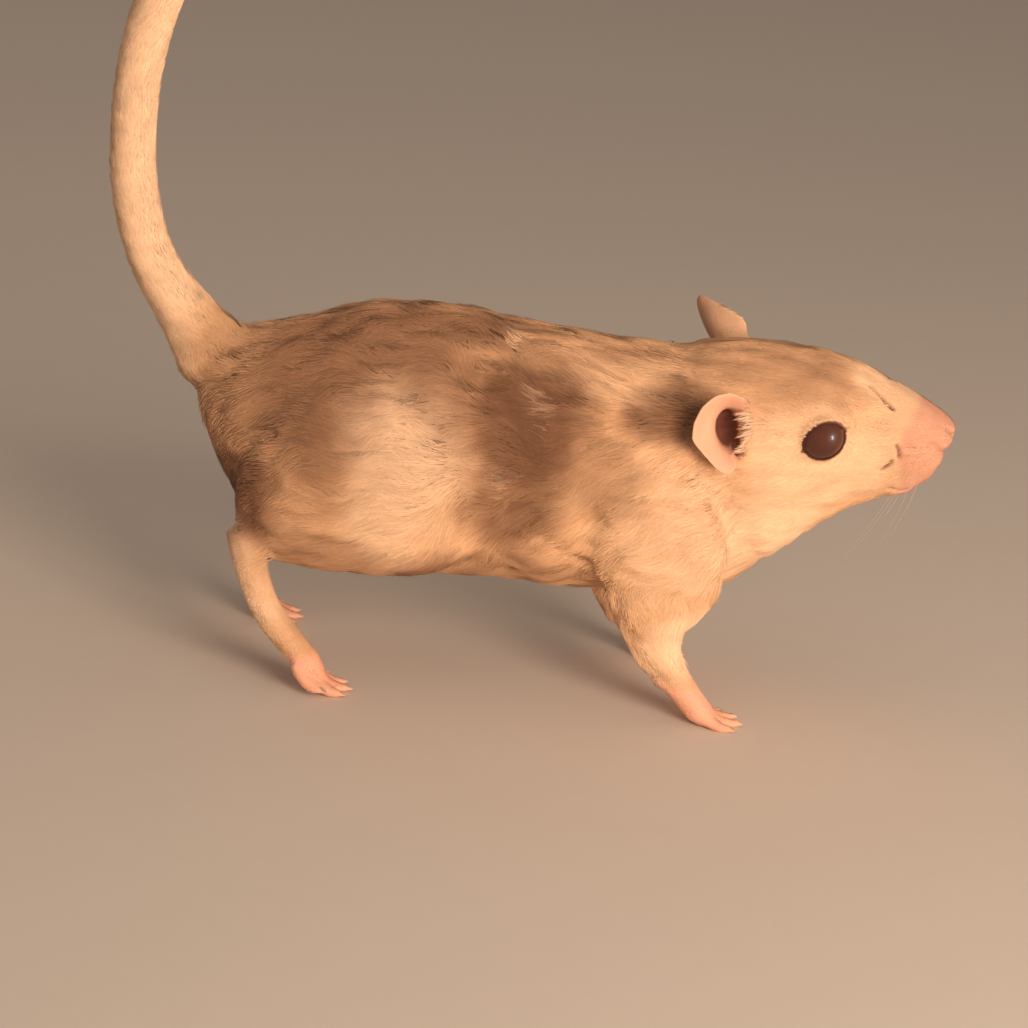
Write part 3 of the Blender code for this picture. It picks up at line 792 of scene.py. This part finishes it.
def ball_points():
    """A unit ball about the line out of the head: rings at even angles from its front to its back,
    where the rings at both ends have shrunk to nothing."""
    polar = np.linspace(0, math.pi, BALL_ROWS)[:, None]
    turn = np.linspace(0, 2 * math.pi, BALL_COLUMNS, endpoint=False)[None, :]
    wide, out = np.sin(polar), np.cos(polar) + 0 * turn
    return np.stack([wide * np.cos(turn), wide * np.sin(turn), out], axis=-1)


def merge(obj):
    """Merges points at one place and drops the faces that this leaves with no width."""
    work = bmesh.new()
    work.from_mesh(obj.data)
    bmesh.ops.remove_doubles(work, verts=work.verts, dist=1e-8)
    bmesh.ops.recalc_face_normals(work, faces=work.faces)
    work.to_mesh(obj.data)
    work.free()


def place_piece(name, points, faces, material):
    """A closed piece on the body from rings of points, in its slot."""
    piece = make_mesh(name, points.reshape(-1, 3), faces, material)
    merge(piece)
    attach(piece, "root")
    return piece


for word in EYES:
    centre, along, up, out = eye_axes(word)
    points = centre + EYE_RADIUS * ball_points() @ np.stack([along, up, out])
    faces = grid_faces(BALL_ROWS, BALL_COLUMNS, close_columns=True)
    ball = place_piece("eyeball_" + word, points, faces, eye_material)
    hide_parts("eye_" + word)

# Coat: closed tufts with three sides, rooted in the skin and laid along it, with their tips drawn
# together into locks. They are joined in pieces of under 200,000 triangles.
COAT_TRIANGLES = 1.45e6
PIECE_TRIANGLES = 195000
# The way the hair lies in the level body: places forward, out to either side and up, then directions
LIE = np.array([
    (67, 0, 52, -1, 0.2, 0.6),
    (62, 4, 55, -1, 0.2, 0.25),
    (62, 5, 46, -1, 0.3, 0),
    (60, 3, 40, -1, 0.3, -0.2),
    (54, 8, 52, -1, 0.2, 0.05),
    (50, 3, 60, -1, 0.1, 0.05),
    (50, 9, 44, -1, 0.1, -0.15),
    (42, 10, 56, -1, 0, 0),
    (40, 12, 42, -1, 0, -0.25),
    (40, 2, 32, -1, 0.2, -0.4),
    (34, 0, 62, -1, 0, 0),
    (30, 14, 36, -0.8, 0, -0.55),
    (24, 0, 62, -1, 0, 0),
    (22, 12, 52, -1, 0, 0.10),
    (18, 14, 44, -1, 0, -0.35),
    (16, 15, 34, -0.7, 0, -0.75),
    (10, 8, 58, -0.9, -0.2, 0.42),
    (6, 16, 46, -1, 0, 0.10),
    (4, 0, 60, -1, 0, 0),
    (4, 16, 30, -0.9, 0, -0.40),
    (-6, 12, 54, -0.9, -0.1, 0.38),
    (-12, 0, 62, -1, 0, 0),
    (-10, 17, 42, -1, 0, 0.02),
    (-6, 16, 30, -0.6, 0, -0.85),
    (-24, 19, 46, -1, 0, 0.08),
    (-24, 20, 36, -1, 0, -0.08),
    (-24, 18, 24, -1, -0.1, -0.35),
    (-28, 0, 62, -1, 0, 0),
    (-38, 14, 50, -1, 0.1, -0.20),
    (-40, 18, 36, -0.9, -0.1, -0.40),
    (-46, 0, 54, -0.9, 0, 0.10),
    (-50, 6, 40, -0.3, 0, -1),
    (-46, 12, 30, -0.4, 0, -0.9),
    (24, 0, 24, -1, 0.3, -0.2),
    (0, 0, 22, -1, 0.3, 0),
    (-8, 13, 23, -0.55, 0, -0.85),
    (-26, 0, 24, -1, 0.3, 0),
])
LIE_REACH = 5.0
# Where the hair is cut shorter, or is longer where the last value is below 0: places on both sides,
# reach and the share that is cut
TRIMS = (
    ((-43, 14.4, 28), 10, 0.65),
    ((-48, 0, 50), 12, 0.35),
    ((33.5, 12, 44), 8, 0.40),
    ((47, 12, 50), 7.5, 0.55),
    ((-8, 14, 23.5), 6, -0.35),
)
# Limbs along which the hair runs instead: the nodes, and 1 for upwards and -1 for downwards
LIMBS = {
    "tail": (("tail_root", "tail_lower", "tail_upper", "tail_tuft"), 1),
    "foreleg_right": (("foreleg_right", "forefoot_right"), -1),
    "foreleg_left": (("foreleg_left", "forefoot_left"), -1),
    "hindleg_right": (("hindfoot_right",), -1),
    "hindleg_left": (("hindfoot_left",), -1),
}


# How far from an eye's middle the hair begins to part round it and is fully parted, and how far out
PART_FROM = 8.5
PART_FULL = 5.5
PART_OUT = 0.35
# The shares of its length, width or depth that the coat has lost at the lids, on the snout, and
# beside the parts that are bare or have a short coat
LID_CUT = 0.5
SNOUT_SHORTER = 0.5
SNOUT_THINNER = 0.35
BARE_SHORTER = 0.62
BARE_LOWER = 0.35


def middle_line(nodes, bands=14):
    """The middle of a limb at even heights from its lowest point to its highest."""
    points = np.concatenate([triangles_of(node)[0] for node in nodes])
    edges = np.linspace(points[:, 2].min(), points[:, 2].max(), bands + 1)
    band = np.clip(np.searchsorted(edges, points[:, 2]) - 1, 0, bands - 1)
    used = np.unique(band)
    return np.stack([points[band == number].mean(axis=0) for number in used])


def line_at(line, heights):
    """A limb's middle and its upward direction at each height."""
    here, above = ([np.interp(heights + shift, line[:, 2], line[:, k]) for k in (0, 1)] for shift in (0, 1.0))
    middle = np.stack([*here, heights], axis=1)
    return middle, unit(np.stack([above[0] - here[0], above[1] - here[1], np.ones(len(heights))], axis=1))


side_sign = np.where(skin_points[:, 1] < 0, -1.0, 1.0)
mirror = np.stack([np.ones_like(side_sign), side_sign, np.ones_like(side_sign)], axis=1)
folded = skin_points * mirror
lie = np.zeros_like(skin_points)
for row in LIE:
    pull = 1 / (((folded - row[:3]) ** 2).sum(axis=1, keepdims=True) + LIE_REACH**2) ** 2
    lie += pull * unit(row[3:])
lie = unit(lie) * mirror

limb_of = {"tail": share_of("tail", "tuft")}
for word, side in EYES.items():
    own = side_sign == side
    low_foreleg = share_of("foreleg") * ramp(skin_points[:, 2], 30.0, 18.0)
    limb_of["foreleg_" + word] = own * (low_foreleg + share_of("forefoot"))
    limb_of["hindleg_" + word] = own * share_of("hindfoot")
lines = {}
for name, (nodes, way) in LIMBS.items():
    lines[name] = middle_line(nodes)
    ahead = line_at(lines[name], skin_points[:, 2])[1] * way
    lie += limb_of[name][:, None] * (ahead - lie)
for word in EARS:
    own = share_of("ear") * (side_sign == EYES[word])
    lie += own[:, None] * (ear_places(word)[1][1] - lie)
# Round each eye the hair that would run into it is turned along the lids
for word in EYES:
    away = skin_points - eye_axes(word)[0]
    distance = np.linalg.norm(away, axis=1)
    away = unit(away - (away * normals).sum(axis=1, keepdims=True) * normals)
    near = ramp(distance, PART_FROM, PART_FULL)[:, None]
    into = np.minimum((lie * away).sum(axis=1, keepdims=True), 0)
    lie += near * (PART_OUT - into) * away
lie = relax(lie, skin_edges, 12)
lie = unit(lie - (lie * normals).sum(axis=1, keepdims=True) * normals)


def ripples(points, seed, wavelength, number=14):
    """A smooth random value at each point and its slope there: a sum of sine waves that run in
    random directions, each about one wavelength long."""
    rng = np.random.default_rng(seed)
    waves = unit(rng.normal(size=(number, 3))) * (2 * math.pi / wavelength)
    waves = waves * rng.uniform(0.7, 1.4, (number, 1))
    angle = points @ waves.T + rng.uniform(0, 2 * math.pi, number)
    scale = math.sqrt(2 / number)
    return np.sin(angle).sum(axis=1) * scale, np.cos(angle) @ waves * scale


bald = np.maximum(ramp(stain, 0.4, 0.7), ramp(inner_ear, 0.2, 0.5))
bald = np.maximum(bald, ramp(skin_points[:, 2], 1.2, 0.5))
columns = np.array([row[1:5] for row in PARTS.values()], float)
tuft_depth, tuft_length, tuft_width, tuft_density = (shares @ columns).T
tuft_density *= 1 - bald
snout = ramp(skin_points[:, 0], 46.0, 60.0) * share_of("head")
tuft_length *= 1 - SNOUT_SHORTER * snout
tuft_width *= 1 - SNOUT_THINNER * snout
for place, reach, cut in TRIMS:
    near = ramp(np.linalg.norm(folded - place, axis=1), reach, 0.35 * reach)
    tuft_length *= 1 - cut * near
    tuft_depth *= 1 - 0.5 * cut * near
near_bare = np.stack([share_of(kind) for kind in ("hindfoot", "forefoot", "ear", "tail")], axis=1)
near_bare = ramp(relax(near_bare, skin_edges, 60).max(axis=1), 0.0, 0.22)
near_bare *= 1 - ramp(share_of("tail", "tuft"), 0.3, 0.7)
tuft_length *= 1 - BARE_SHORTER * near_bare
tuft_depth *= 1 - BARE_LOWER * near_bare
for word in EYES:
    near = ramp(np.linalg.norm(skin_points - eye_axes(word)[0], axis=1), PART_FROM, PART_FULL)
    tuft_length *= 1 - LID_CUT * near
    tuft_depth *= 1 - LID_CUT * near
on_skin = nearest_on(skin_points, skin_faces)

CORNERS = np.radians([90.0, 210.0, 330.0])
FLATNESS = 0.22
# Locks, streaks and folds are drawn out along the body, and the strands of the nape along the lie
# of its hair: each way's direction, and the share that is left of the distances along it
BODY_WAY = ((1.0, 0.0, 0.0), 0.35)
STREAK_WAY = ((1.0, 0.0, 0.0), 0.22)
STREAK_WIDTH = 2.6
NAPE_WAY = ((-0.89, 0.18, 0.42), 0.15)
NAPE_MIDDLE = (11.0, -9.0, 54.0)
NAPE_REACH = (15.0, 12.0, 8.0)
STRAND_WIDTH = 2.4
# How far a tuft's normals may lean away from the skin's into the folds
LEAN_MOST = 0.4
# The share of tufts that stand out further than the rest, how much further, and how much thinner
GUARD_SHARE = 0.015
GUARD_RISE = 1.3
GUARD_WIDTH = 0.6
# The share of its length that is left of a tuft which would cross skin that is more bald than this
CUT_SHORT = 0.4
MOST_BALD = 0.3


def spindle_faces(rings):
    """Triangles of one closed tuft: its root, its rings of three and its tip."""
    first = [(0, 1 + k, 1 + (k + 1) % 3) for k in range(3)]
    sides = []
    for ring in range(rings - 1):
        a = 1 + 3 * ring
        for k in range(3):
            n = (k + 1) % 3
            sides += [(a + k, a + 3 + k, a + n), (a + n, a + 3 + k, a + 3 + n)]
    a, tip = 3 * rings - 2, 3 * rings + 1
    last = [(tip, a + (k + 1) % 3, a + k) for k in range(3)]
    return np.array(first + sides + last)


def drawn_out(rows, direction, share):
    """Rows with the part of them along a direction scaled down."""
    direction = unit(np.array(direction))
    return rows - (1 - share) * (rows @ direction)[:, None] * direction


def long_ripples(places, seed, wavelength, way):
    """Ripples at some places, and their slopes there, made longer along a way."""
    value, slope = ripples(drawn_out(places, *way), seed, wavelength)
    return value, drawn_out(slope, *way)


def per_face(density):
    """The number of tufts that a density at the points gives each face of the skin."""
    area = np.linalg.norm(face_crosses(skin_points, skin_faces), axis=1) / 2
    return area * density[skin_faces].mean(axis=1)


def led_over_skin(root, at, length, turn, rings):
    """Leads tufts along the lie of the coat. Gives the numbers of those that are kept and the corner
    number at each tip, and for the kept ones their places on the skin from root to tip, with the
    skin's normals and their headings. One that would cross bare skin is cut short, and isn't kept
    if it still would."""
    place, normal, heading = root, normals[at], lie[at]
    stations, ups, headings = [root], [normal], [heading]
    crossed = np.zeros(len(root))
    for step in range(rings + 1):
        heading = unit(heading + turn * np.cross(normal, heading) * (0.6 + 0.4 * step))
        place, face = on_skin(place + heading * (length / (rings + 1))[:, None])
        shown = skin_faces[face, 0]
        normal = normals[shown]
        heading = 0.5 * heading + 0.5 * lie[shown]
        heading = unit(heading - (heading * normal).sum(axis=1, keepdims=True) * normal)
        stations.append(place)
        ups.append(normal)
        headings.append(heading)
        crossed = np.maximum(crossed, bald[shown])
    over = np.flatnonzero(crossed > MOST_BALD)
    for rows in stations[1:]:
        rows[over] = root[over] + CUT_SHORT * (rows[over] - root[over])
    crossed[over] = bald[skin_faces[on_skin(stations[-1][over])[1], 0]]
    kept = np.flatnonzero(crossed < MOST_BALD)
    return kept, shown, *([rows[kept] for rows in group] for group in (stations, ups, headings))


def folds_at(seen, lifted, shape):
    """How far the normals lean into the folds of the coat at the places where tufts are seen, and
    how much darker or paler the tufts are there."""
    nape = np.exp(-(((seen - NAPE_MIDDLE) / NAPE_REACH) ** 2).sum(axis=1))
    strands, slope = long_ripples(seen, shape["seed"] + 3, STRAND_WIDTH, NAPE_WAY)
    folds = long_ripples(seen, shape["seed"] + 2, shape["fold"], BODY_WAY)[1]
    lean = shape["folding"] * (folds + nape[:, None] * slope)
    lean /= np.maximum(np.linalg.norm(lean, axis=1, keepdims=True) / LEAN_MOST, 1.0)
    streaks = long_ripples(seen, shape["seed"] + 4, STREAK_WIDTH, STREAK_WAY)[0]
    # Tufts that lie lower in the locks are a little darker: painted shade between the locks
    tone = 0.5 * streaks - 3.0 * nape * np.clip(strands - 0.3, 0, 1) - 0.2 * lifted
    return lean, np.clip(tone, -2.6, 2.0)


def tufts(seed, density, shape):
    """Tufts over the skin. Each starts at a random place, is led along the lie of the coat from ring
    to ring, and rises from the skin to the coat's depth. Gives its points, and for each point its
    values: the tuft's tone, how far out along it, its root's place and corner number on the skin."""
    rng, rings = np.random.default_rng(seed), shape["rings"]
    running = np.cumsum(per_face(density))
    number = int(running[-1])
    face = np.searchsorted(running, (np.arange(number) + rng.random(number)) / number * running[-1])
    u, v = rng.random((2, number, 1))
    a, b, c, d = (skin_points[skin_faces[face, k]] for k in range(4))
    root = (a * (1 - u) + b * u) * (1 - v) + (d * (1 - u) + c * u) * v
    at = skin_faces[face, 0]
    length = tuft_length[at] * rng.uniform(0.75, 1.2, number)
    width = tuft_width[at] * rng.uniform(0.7, 1.25, number)
    guard = rng.random(number) < GUARD_SHARE
    rise = tuft_depth[at] * rng.uniform(0.85, 1.1, number) * np.where(guard, GUARD_RISE, 1.0)
    width = width * np.where(guard, GUARD_WIDTH, 1.0)
    sway = ripples(root, shape["seed"], shape["wavelength"])[0] * shape["sway"]
    turn = (sway + rng.normal(0, shape["jitter"], number))[:, None]
    kept, shown, stations, ups, headings = led_over_skin(root, at, length, turn, rings)
    root, at, shown, length, width, rise = (rows[kept] for rows in (root, at, shown, length, width, rise))
    number = len(kept)
    seen = (stations[-2] + stations[-1]) / 2
    lifted, slope = long_ripples(seen, shape["seed"] + 1, shape["lock"], BODY_WAY)
    rise = rise * (1 - shape["uneven"] * lifted)
    slope -= (slope * headings[0]).sum(axis=1, keepdims=True) * headings[0]
    gather = shape["gather"] * slope * np.minimum(length, 6.0)[:, None]
    lean, tone = folds_at(seen, lifted, shape)
    share = np.arange(rings + 2) / (rings + 1)
    points, softened = [], []
    for k in range(rings + 2):
        soft = unit(ups[k] - lean)
        middle = stations[k] + ups[k] * (rise * shape["heights"][k])[:, None] + gather * share[k] ** 1.5
        if k in (0, rings + 1):
            points.append(middle[:, None])
            softened.append(soft[:, None])
            continue
        across = np.cross(headings[k], ups[k])
        half = (width * shape["profile"][k - 1] / 2)[:, None, None]
        ring = np.cos(CORNERS)[:, None] * across[:, None]
        ring = ring + FLATNESS * np.sin(CORNERS)[:, None] * ups[k][:, None]
        points.append(middle[:, None] + half * ring)
        softened.append(unit(shape["softness"] * soft[:, None] + (1 - shape["softness"]) * ring))
    points = np.concatenate(points, axis=1)
    per = points.shape[1]
    out_along = np.concatenate([[0.0], np.repeat(share[1:-1], 3), [1.0]])
    aside = np.concatenate([[0.0], np.tile([0.0, -1.0, 1.0], rings), [0.0]])
    tone = tone + rng.normal(0, 0.9, number)
    return {
        "points": points,
        "normals": np.concatenate(softened, axis=1),
        "faces": spindle_faces(rings),
        "tone": np.repeat(tone[:, None], per, axis=1),
        "along": np.broadcast_to(out_along, (number, per)),
        "aside": aside,
        "root": root,
        "at": at,
        "shown": shown,
    }


def unwrap(root, at):
    """A place from 0 to 1 for each root: the body, head and haunches turned out of a cylinder along
    them, above, and each limb turned out of one along its middle, below."""
    angle = np.arctan2(root[:, 1], root[:, 2] - 40.0) / (2 * math.pi) + 0.5
    place = np.stack([(root[:, 0] + 72.0) / 144.0, 0.42 + 0.56 * angle], axis=1)
    for number, name in enumerate(LIMBS):
        own = limb_of[name][at] > 0.5
        away = root - line_at(lines[name], root[:, 2])[0]
        angle = np.arctan2(away[:, 1], away[:, 0]) / (2 * math.pi) + 0.5
        low, high = lines[name][0, 2] - 4, lines[name][-1, 2] + 4
        tile = [(number + 0.08 + 0.84 * angle) / len(LIMBS), 0.02 + 0.36 * (root[:, 2] - low) / (high - low)]
        place = np.where(own[:, None], np.stack(tile, axis=1), place)
    return np.clip(place, 0.005, 0.995)


PATCH = 0.003
# A tuft's underside is shaded as though it faced this way on the left side, and its mirror image on
# the right, since light reaches it through the hair
UNDER_WAY = np.array([0.5, 0.3, 0.4])
# A corner's normal leans out of its face by this much at least, and by this much if it has to be
# turned to do so
LEAST_FACING = 0.12
TURNED_FACING = 0.15


def coat_pieces(name, made, material):
    """Joins tufts into pieces, in order from the tail to the nose, with their values and OFBake map."""
    order = np.argsort(made["root"][:, 0], kind="stable")
    place = unwrap(made["root"], made["at"])
    per_piece = PIECE_TRIANGLES // len(made["faces"])
    per = made["points"].shape[1]
    for number, start in enumerate(range(0, len(order), per_piece)):
        chosen = order[start:start + per_piece]
        faces = (np.arange(len(chosen))[:, None, None] * per + made["faces"]).reshape(-1, 3)
        points = made["points"][chosen].reshape(-1, 3)
        piece = make_mesh(f"{name}_{number + 1}", points, faces, material)
        along, shown = made["along"][chosen], made["shown"][chosen]
        keep_values(piece, tone=made["tone"][chosen].ravel(), along=along.ravel())
        keep_values(piece, bare=np.repeat(bare[shown], per), tint=np.repeat(tint[shown], per))
        facing = unit(face_crosses(points, faces))[:, None]
        soft = made["normals"][chosen].reshape(-1, 3)[faces]
        with_face = (soft * facing).sum(axis=2, keepdims=True)
        lit = np.where(points[faces[:, :1], 1:2] < 0, UNDER_WAY * [1, -1, 1], UNDER_WAY)
        flat = soft - with_face * facing + lit - (lit * facing).sum(axis=2, keepdims=True) * facing
        turned = unit(unit(flat) + TURNED_FACING * facing)
        soft = np.where(with_face < LEAST_FACING, turned, soft)
        layer = piece.data.attributes.new("custom_normal", "FLOAT_VECTOR", "CORNER")
        layer.data.foreach_set("vector", np.ascontiguousarray(soft, np.float32).ravel())
        offset = np.stack([np.broadcast_to(made["aside"], along.shape) * 0.5, along - 0.5], axis=-1)
        corner = (place[chosen][:, None] + PATCH * offset).reshape(-1, 2)[faces.ravel()]
        layer = piece.data.uv_layers.new(name="OFBake")
        layer.data.foreach_set("uv", np.ascontiguousarray(corner, np.float32).ravel())
        # Fine hair lets light through, so the tufts keep no light from each other
        piece.visible_shadow = False
        piece.visible_diffuse = False
        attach(piece, "root")


coat_material, shading, shader = new_material("gerbil_coat", Roughness=0.7, Specular_IOR_Level=0.25)
tone, along = mark(shading, "tone"), mark(shading, "along")
fur = mark(shading, "bare").ramp(0.2, 0.8).mix(coat_colour(shading), pink_colour(shading))
shade = (along.ramp(0.0, 0.6) * 0.12 + 0.88) * (tone * 0.07 + 1.0)
connect(fur.vector("MULTIPLY", shade), shader, "Base Color")
connect(along * -0.15 + 0.75, shader, "Roughness")

# What each length of coat is like: its wavelengths in millimetres, how far tufts sway from the lie of
# the coat, gather into locks, rise unevenly and lean into folds, and their heights and widths by ring
LONG = {
    "rings": 2, "seed": 11, "wavelength": 11.0, "lock": 3.2, "fold": 3.4,
    "sway": 0.20, "jitter": 0.09, "gather": 0.045, "uneven": 0.06, "folding": 0.19, "softness": 0.70,
    "heights": (-0.12, 0.68, 0.95, 1.0), "profile": (0.9, 0.75),
}
SHORT = {
    "rings": 1, "seed": 21, "wavelength": 9.0, "lock": 2.2, "fold": 3.0,
    "sway": 0.10, "jitter": 0.10, "gather": 0.020, "uneven": 0.05, "folding": 0.08, "softness": 0.82,
    "heights": (-0.12, 0.85, 1.0), "profile": (1.0,),
}
long_share = np.clip(share_of("body", "haunch", "foreleg"), 0, 1)
coats = {
    "coat_long": (3, tuft_density * long_share, LONG),
    "coat_short": (4, tuft_density * (1 - long_share), SHORT),
}
wanted = sum(6 * shape["rings"] * per_face(density).sum() for seed, density, shape in coats.values())
for name, (seed, density, shape) in coats.items():
    coat_pieces(name, tufts(seed, density * min(1.0, COAT_TRIANGLES / wanted), shape), coat_material)

# Lid margins: a thin dark roll of bare skin along the edge of each opening, a closed tube that lies
# on the ball and, at the corners, on the skin
LID_RADIUS = 0.11
LID_COLOUR = (0.050, 0.018, 0.011)
# How far its middle stands off the ball
LID_LIFT = 0.12
lid_material = mottled_material("gerbil_lid", LID_COLOUR, scaled(LID_COLOUR, 1.5), 900.0, Roughness=0.45)


def tubes(paths, radii, sideways, sides):
    """Rings of points round bent paths (m, k, 3), with radii (m, k). Each ring is square to its path,
    and its first point lies towards the given side."""
    ahead = unit(np.gradient(paths, axis=1))
    across = unit(np.cross(ahead, sideways))
    up = np.cross(across, ahead)
    turn = np.linspace(0, 2 * math.pi, sides, endpoint=False)[:, None]
    ring = np.cos(turn) * across[:, :, None] + np.sin(turn) * up[:, :, None]
    return paths[:, :, None] + radii[:, :, None, None] * ring


def tube_piece(name, paths, radii, sideways, sides, material):
    """Bent tubes that end in points, joined into one piece."""
    points = tubes(paths, radii, sideways, sides)
    many, rows = points.shape[:2]
    faces = grid_faces(rows, sides, close_columns=True)
    faces = (np.arange(many)[:, None, None] * rows * sides + faces).reshape(-1, 4)
    place_piece(name, points, faces, material)


for word in EYES:
    centre, along, up, out = eye_axes(word)
    outline = opening_outline(60)[:-1] - [0, OPENING_DROP]
    lift = np.sqrt(np.maximum((EYE_RADIUS + LID_LIFT) ** 2 - (outline**2).sum(axis=1), 1.0))
    path = centre + outline[:, :1] * along + outline[:, 1:] * up + lift[:, None] * out
    path = np.where(np.hypot(*outline.T)[:, None] > EYE_RADIUS - 0.3, on_skin(path)[0], path)
    wide = LID_RADIUS * (1 - 0.8 * ramp(np.hypot(*outline.T), 3.2, 4.0))
    path, wide = (np.concatenate([rows[-1:], rows, rows[:1]])[None] for rows in (path, wide))
    rings = tubes(path, wide, out, 6)[0, 1:-1]
    faces = grid_faces(len(rings), 6, close_rows=True, close_columns=True)
    place_piece("lid_" + word, rings, faces, lid_material)


# Ear fringe: pale hairs rooted on the front edge of each ear's opening, drawn together into pointed
# locks that reach back over it
FRINGE_HAIRS = 108
FRINGE_LOCKS = 12
FRINGE_LENGTH = 2.9
FRINGE_LOW = 2.7
FRINGE_HEIGHT = 7.0
HAIR_RADIUS = 0.085
HAIR_COLOUR = (0.76, 0.50, 0.33)
dry = {"Roughness": 0.6, "Specular_IOR_Level": 0.2}
hair_material = mottled_material("gerbil_whisker", HAIR_COLOUR, scaled(HAIR_COLOUR, 0.8), 300.0, **dry)
rng = np.random.default_rng(31)
for word in EARS:
    foot, (forward, up, face) = EARS[word][0], ear_places(word)[1]
    share = np.linspace(0, 1, FRINGE_HAIRS)
    lock = np.minimum((share * FRINGE_LOCKS).astype(int), FRINGE_LOCKS - 1)
    heights = FRINGE_LOW + FRINGE_HEIGHT * share + rng.uniform(-0.15, 0.15, FRINGE_HAIRS)
    gathered = FRINGE_LOW + FRINGE_HEIGHT * (lock + 0.5) / FRINGE_LOCKS
    gathered = gathered + rng.uniform(-0.25, 0.25, FRINGE_LOCKS)[lock]
    edge = CANAL_FORWARD + (CANAL_HALF_WIDTH + 0.4) * np.sqrt(1 - ((heights - CANAL_UP) / 5.2) ** 2)
    edge = edge + rng.uniform(0.2, 1.6, FRINGE_HAIRS)
    guess = foot + heights[:, None] * up + edge[:, None] * forward + 0.3 * face
    root = on_skin(guess)[0]
    long = FRINGE_LENGTH * rng.uniform(0.7, 1.1, FRINGE_LOCKS)[lock] * rng.uniform(0.85, 1.05, FRINGE_HAIRS)
    t = np.linspace(0, 1, 6)[None, :, None]
    paths = root[:, None] - long[:, None, None] * t * forward + (0.55 * t - 0.35 * t**2) * face
    paths = paths + t**1.3 * (gathered - heights + rng.normal(0, 0.14, FRINGE_HAIRS))[:, None, None] * up
    wide = HAIR_RADIUS * np.sin(math.pi * (0.12 + 0.88 * t[..., 0])) ** 0.7 * np.ones((FRINGE_HAIRS, 1))
    tube_piece("ear_fringe_" + word, paths, wide, face, 5, hair_material)


# Whiskers: long thin hairs in rows on the pads at both sides of the muzzle, swept back and down
WHISKER_ROWS = 4
WHISKERS_IN_ROW = 3
WHISKER_RADIUS = 0.030
rng = np.random.default_rng(37)
for word, side in EYES.items():
    row, number = np.meshgrid(np.arange(WHISKER_ROWS), np.arange(WHISKERS_IN_ROW), indexing="ij")
    row, number = row.ravel(), number.ravel()
    guess = [63.6 - 1.15 * number + 0.3 * (row % 2), side * (7.0 + 0.1 * number), 49.2 - 1.45 * row]
    root = on_skin(to_head(np.stack(guess, axis=1), -1))[0]
    many = len(root)
    start = np.stack([-0.10 - 0.08 * number, side * (1.0 - 0.06 * row), 0.10 - 0.22 * row], axis=1)
    start = unit(start + rng.normal(0, 0.06, (many, 3)))
    bend = np.array([-0.25, -0.20 * side, -0.30]) * rng.uniform(0.7, 1.3, (many, 1))
    long = (12.0 + 2.4 * number + rng.uniform(-2, 2, many))[:, None, None]
    t = np.linspace(0, 1, 12)[None, :, None]
    paths = root[:, None] + long * (t * start[:, None] + t**2 * bend[:, None])
    wide = WHISKER_RADIUS * (1 - 0.85 * t[..., 0]) * (t[..., 0] < 1) * np.ones((many, 1))
    tube_piece("whiskers_" + word, paths, wide, (0.1, 0.2, 1.0), 4, hair_material)


# Claws: curved horn tips that carry on from the toes. For each foot: how far forward its ball is on
# each side, how far out, and each toe's root and tip beside the ball, forward and out, as in the
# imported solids, with the tip's height.
TOES = {
    "hind": ({"right": -30.6, "left": -41.4}, 14.4, (
        (-2, -2.2, 2.4, -3.7, 1.3),
        (0, -1.5, 5.6, -2.7, 0.45),
        (0.2, 0, 6.6, -0.2, 0.45),
        (0, 1.5, 5.8, 2.4, 0.45),
        (-2, 2.2, 2.6, 3.6, 1.3),
    )),
    "fore": ({"right": 33.8, "left": 24.8}, 13.0, (
        (-1, -2, 2.2, -4.2, 0.4),
        (0, -1.3, 4.6, -2.4, 0.4),
        (0.2, 0.3, 5.4, 0.4, 0.4),
        (-0.2, 1.8, 4, 3, 0.4),
    )),
}
CLAW_LENGTH = 1.9
CLAW_RADIUS = 0.30
# How far a claw starts inside its toe, rises first and drops at its tip
CLAW_SUNK = 0.75
CLAW_ARCH = 0.25
CLAW_HOOK = 0.62
CLAW_COLOUR = (0.55, 0.36, 0.25)
claw_material = mottled_material("gerbil_claw", CLAW_COLOUR, scaled(CLAW_COLOUR, 0.7), 700.0, Roughness=0.3)
for kind, (balls, out_to_ball, toes) in TOES.items():
    toes = np.array(toes)
    for word, side in EYES.items():
        beginning = np.stack([balls[word] + toes[:, 0], side * (out_to_ball + toes[:, 1])], axis=1)
        ending = np.stack([balls[word] + toes[:, 2], side * (out_to_ball + toes[:, 3])], axis=1)
        ahead = np.concatenate([unit(ending - beginning), np.zeros((len(toes), 1))], axis=1)
        tip = np.concatenate([ending, toes[:, 4:] + 0.42], axis=1)
        t = np.linspace(0, 1, 7)[None, :, None]
        paths = tip[:, None] + ahead[:, None] * (t * CLAW_LENGTH - CLAW_SUNK)
        paths = paths + [0, 0, 1] * (CLAW_ARCH * t - CLAW_HOOK * t**2.2)
        wide = CLAW_RADIUS * np.sqrt(np.clip(1 - t[..., 0] ** 1.5, 0, 1)) * np.ones((len(toes), 1))
        tube_piece(f"claws_{kind}_{word}", paths, wide, (0, 0, 1), 6, claw_material)
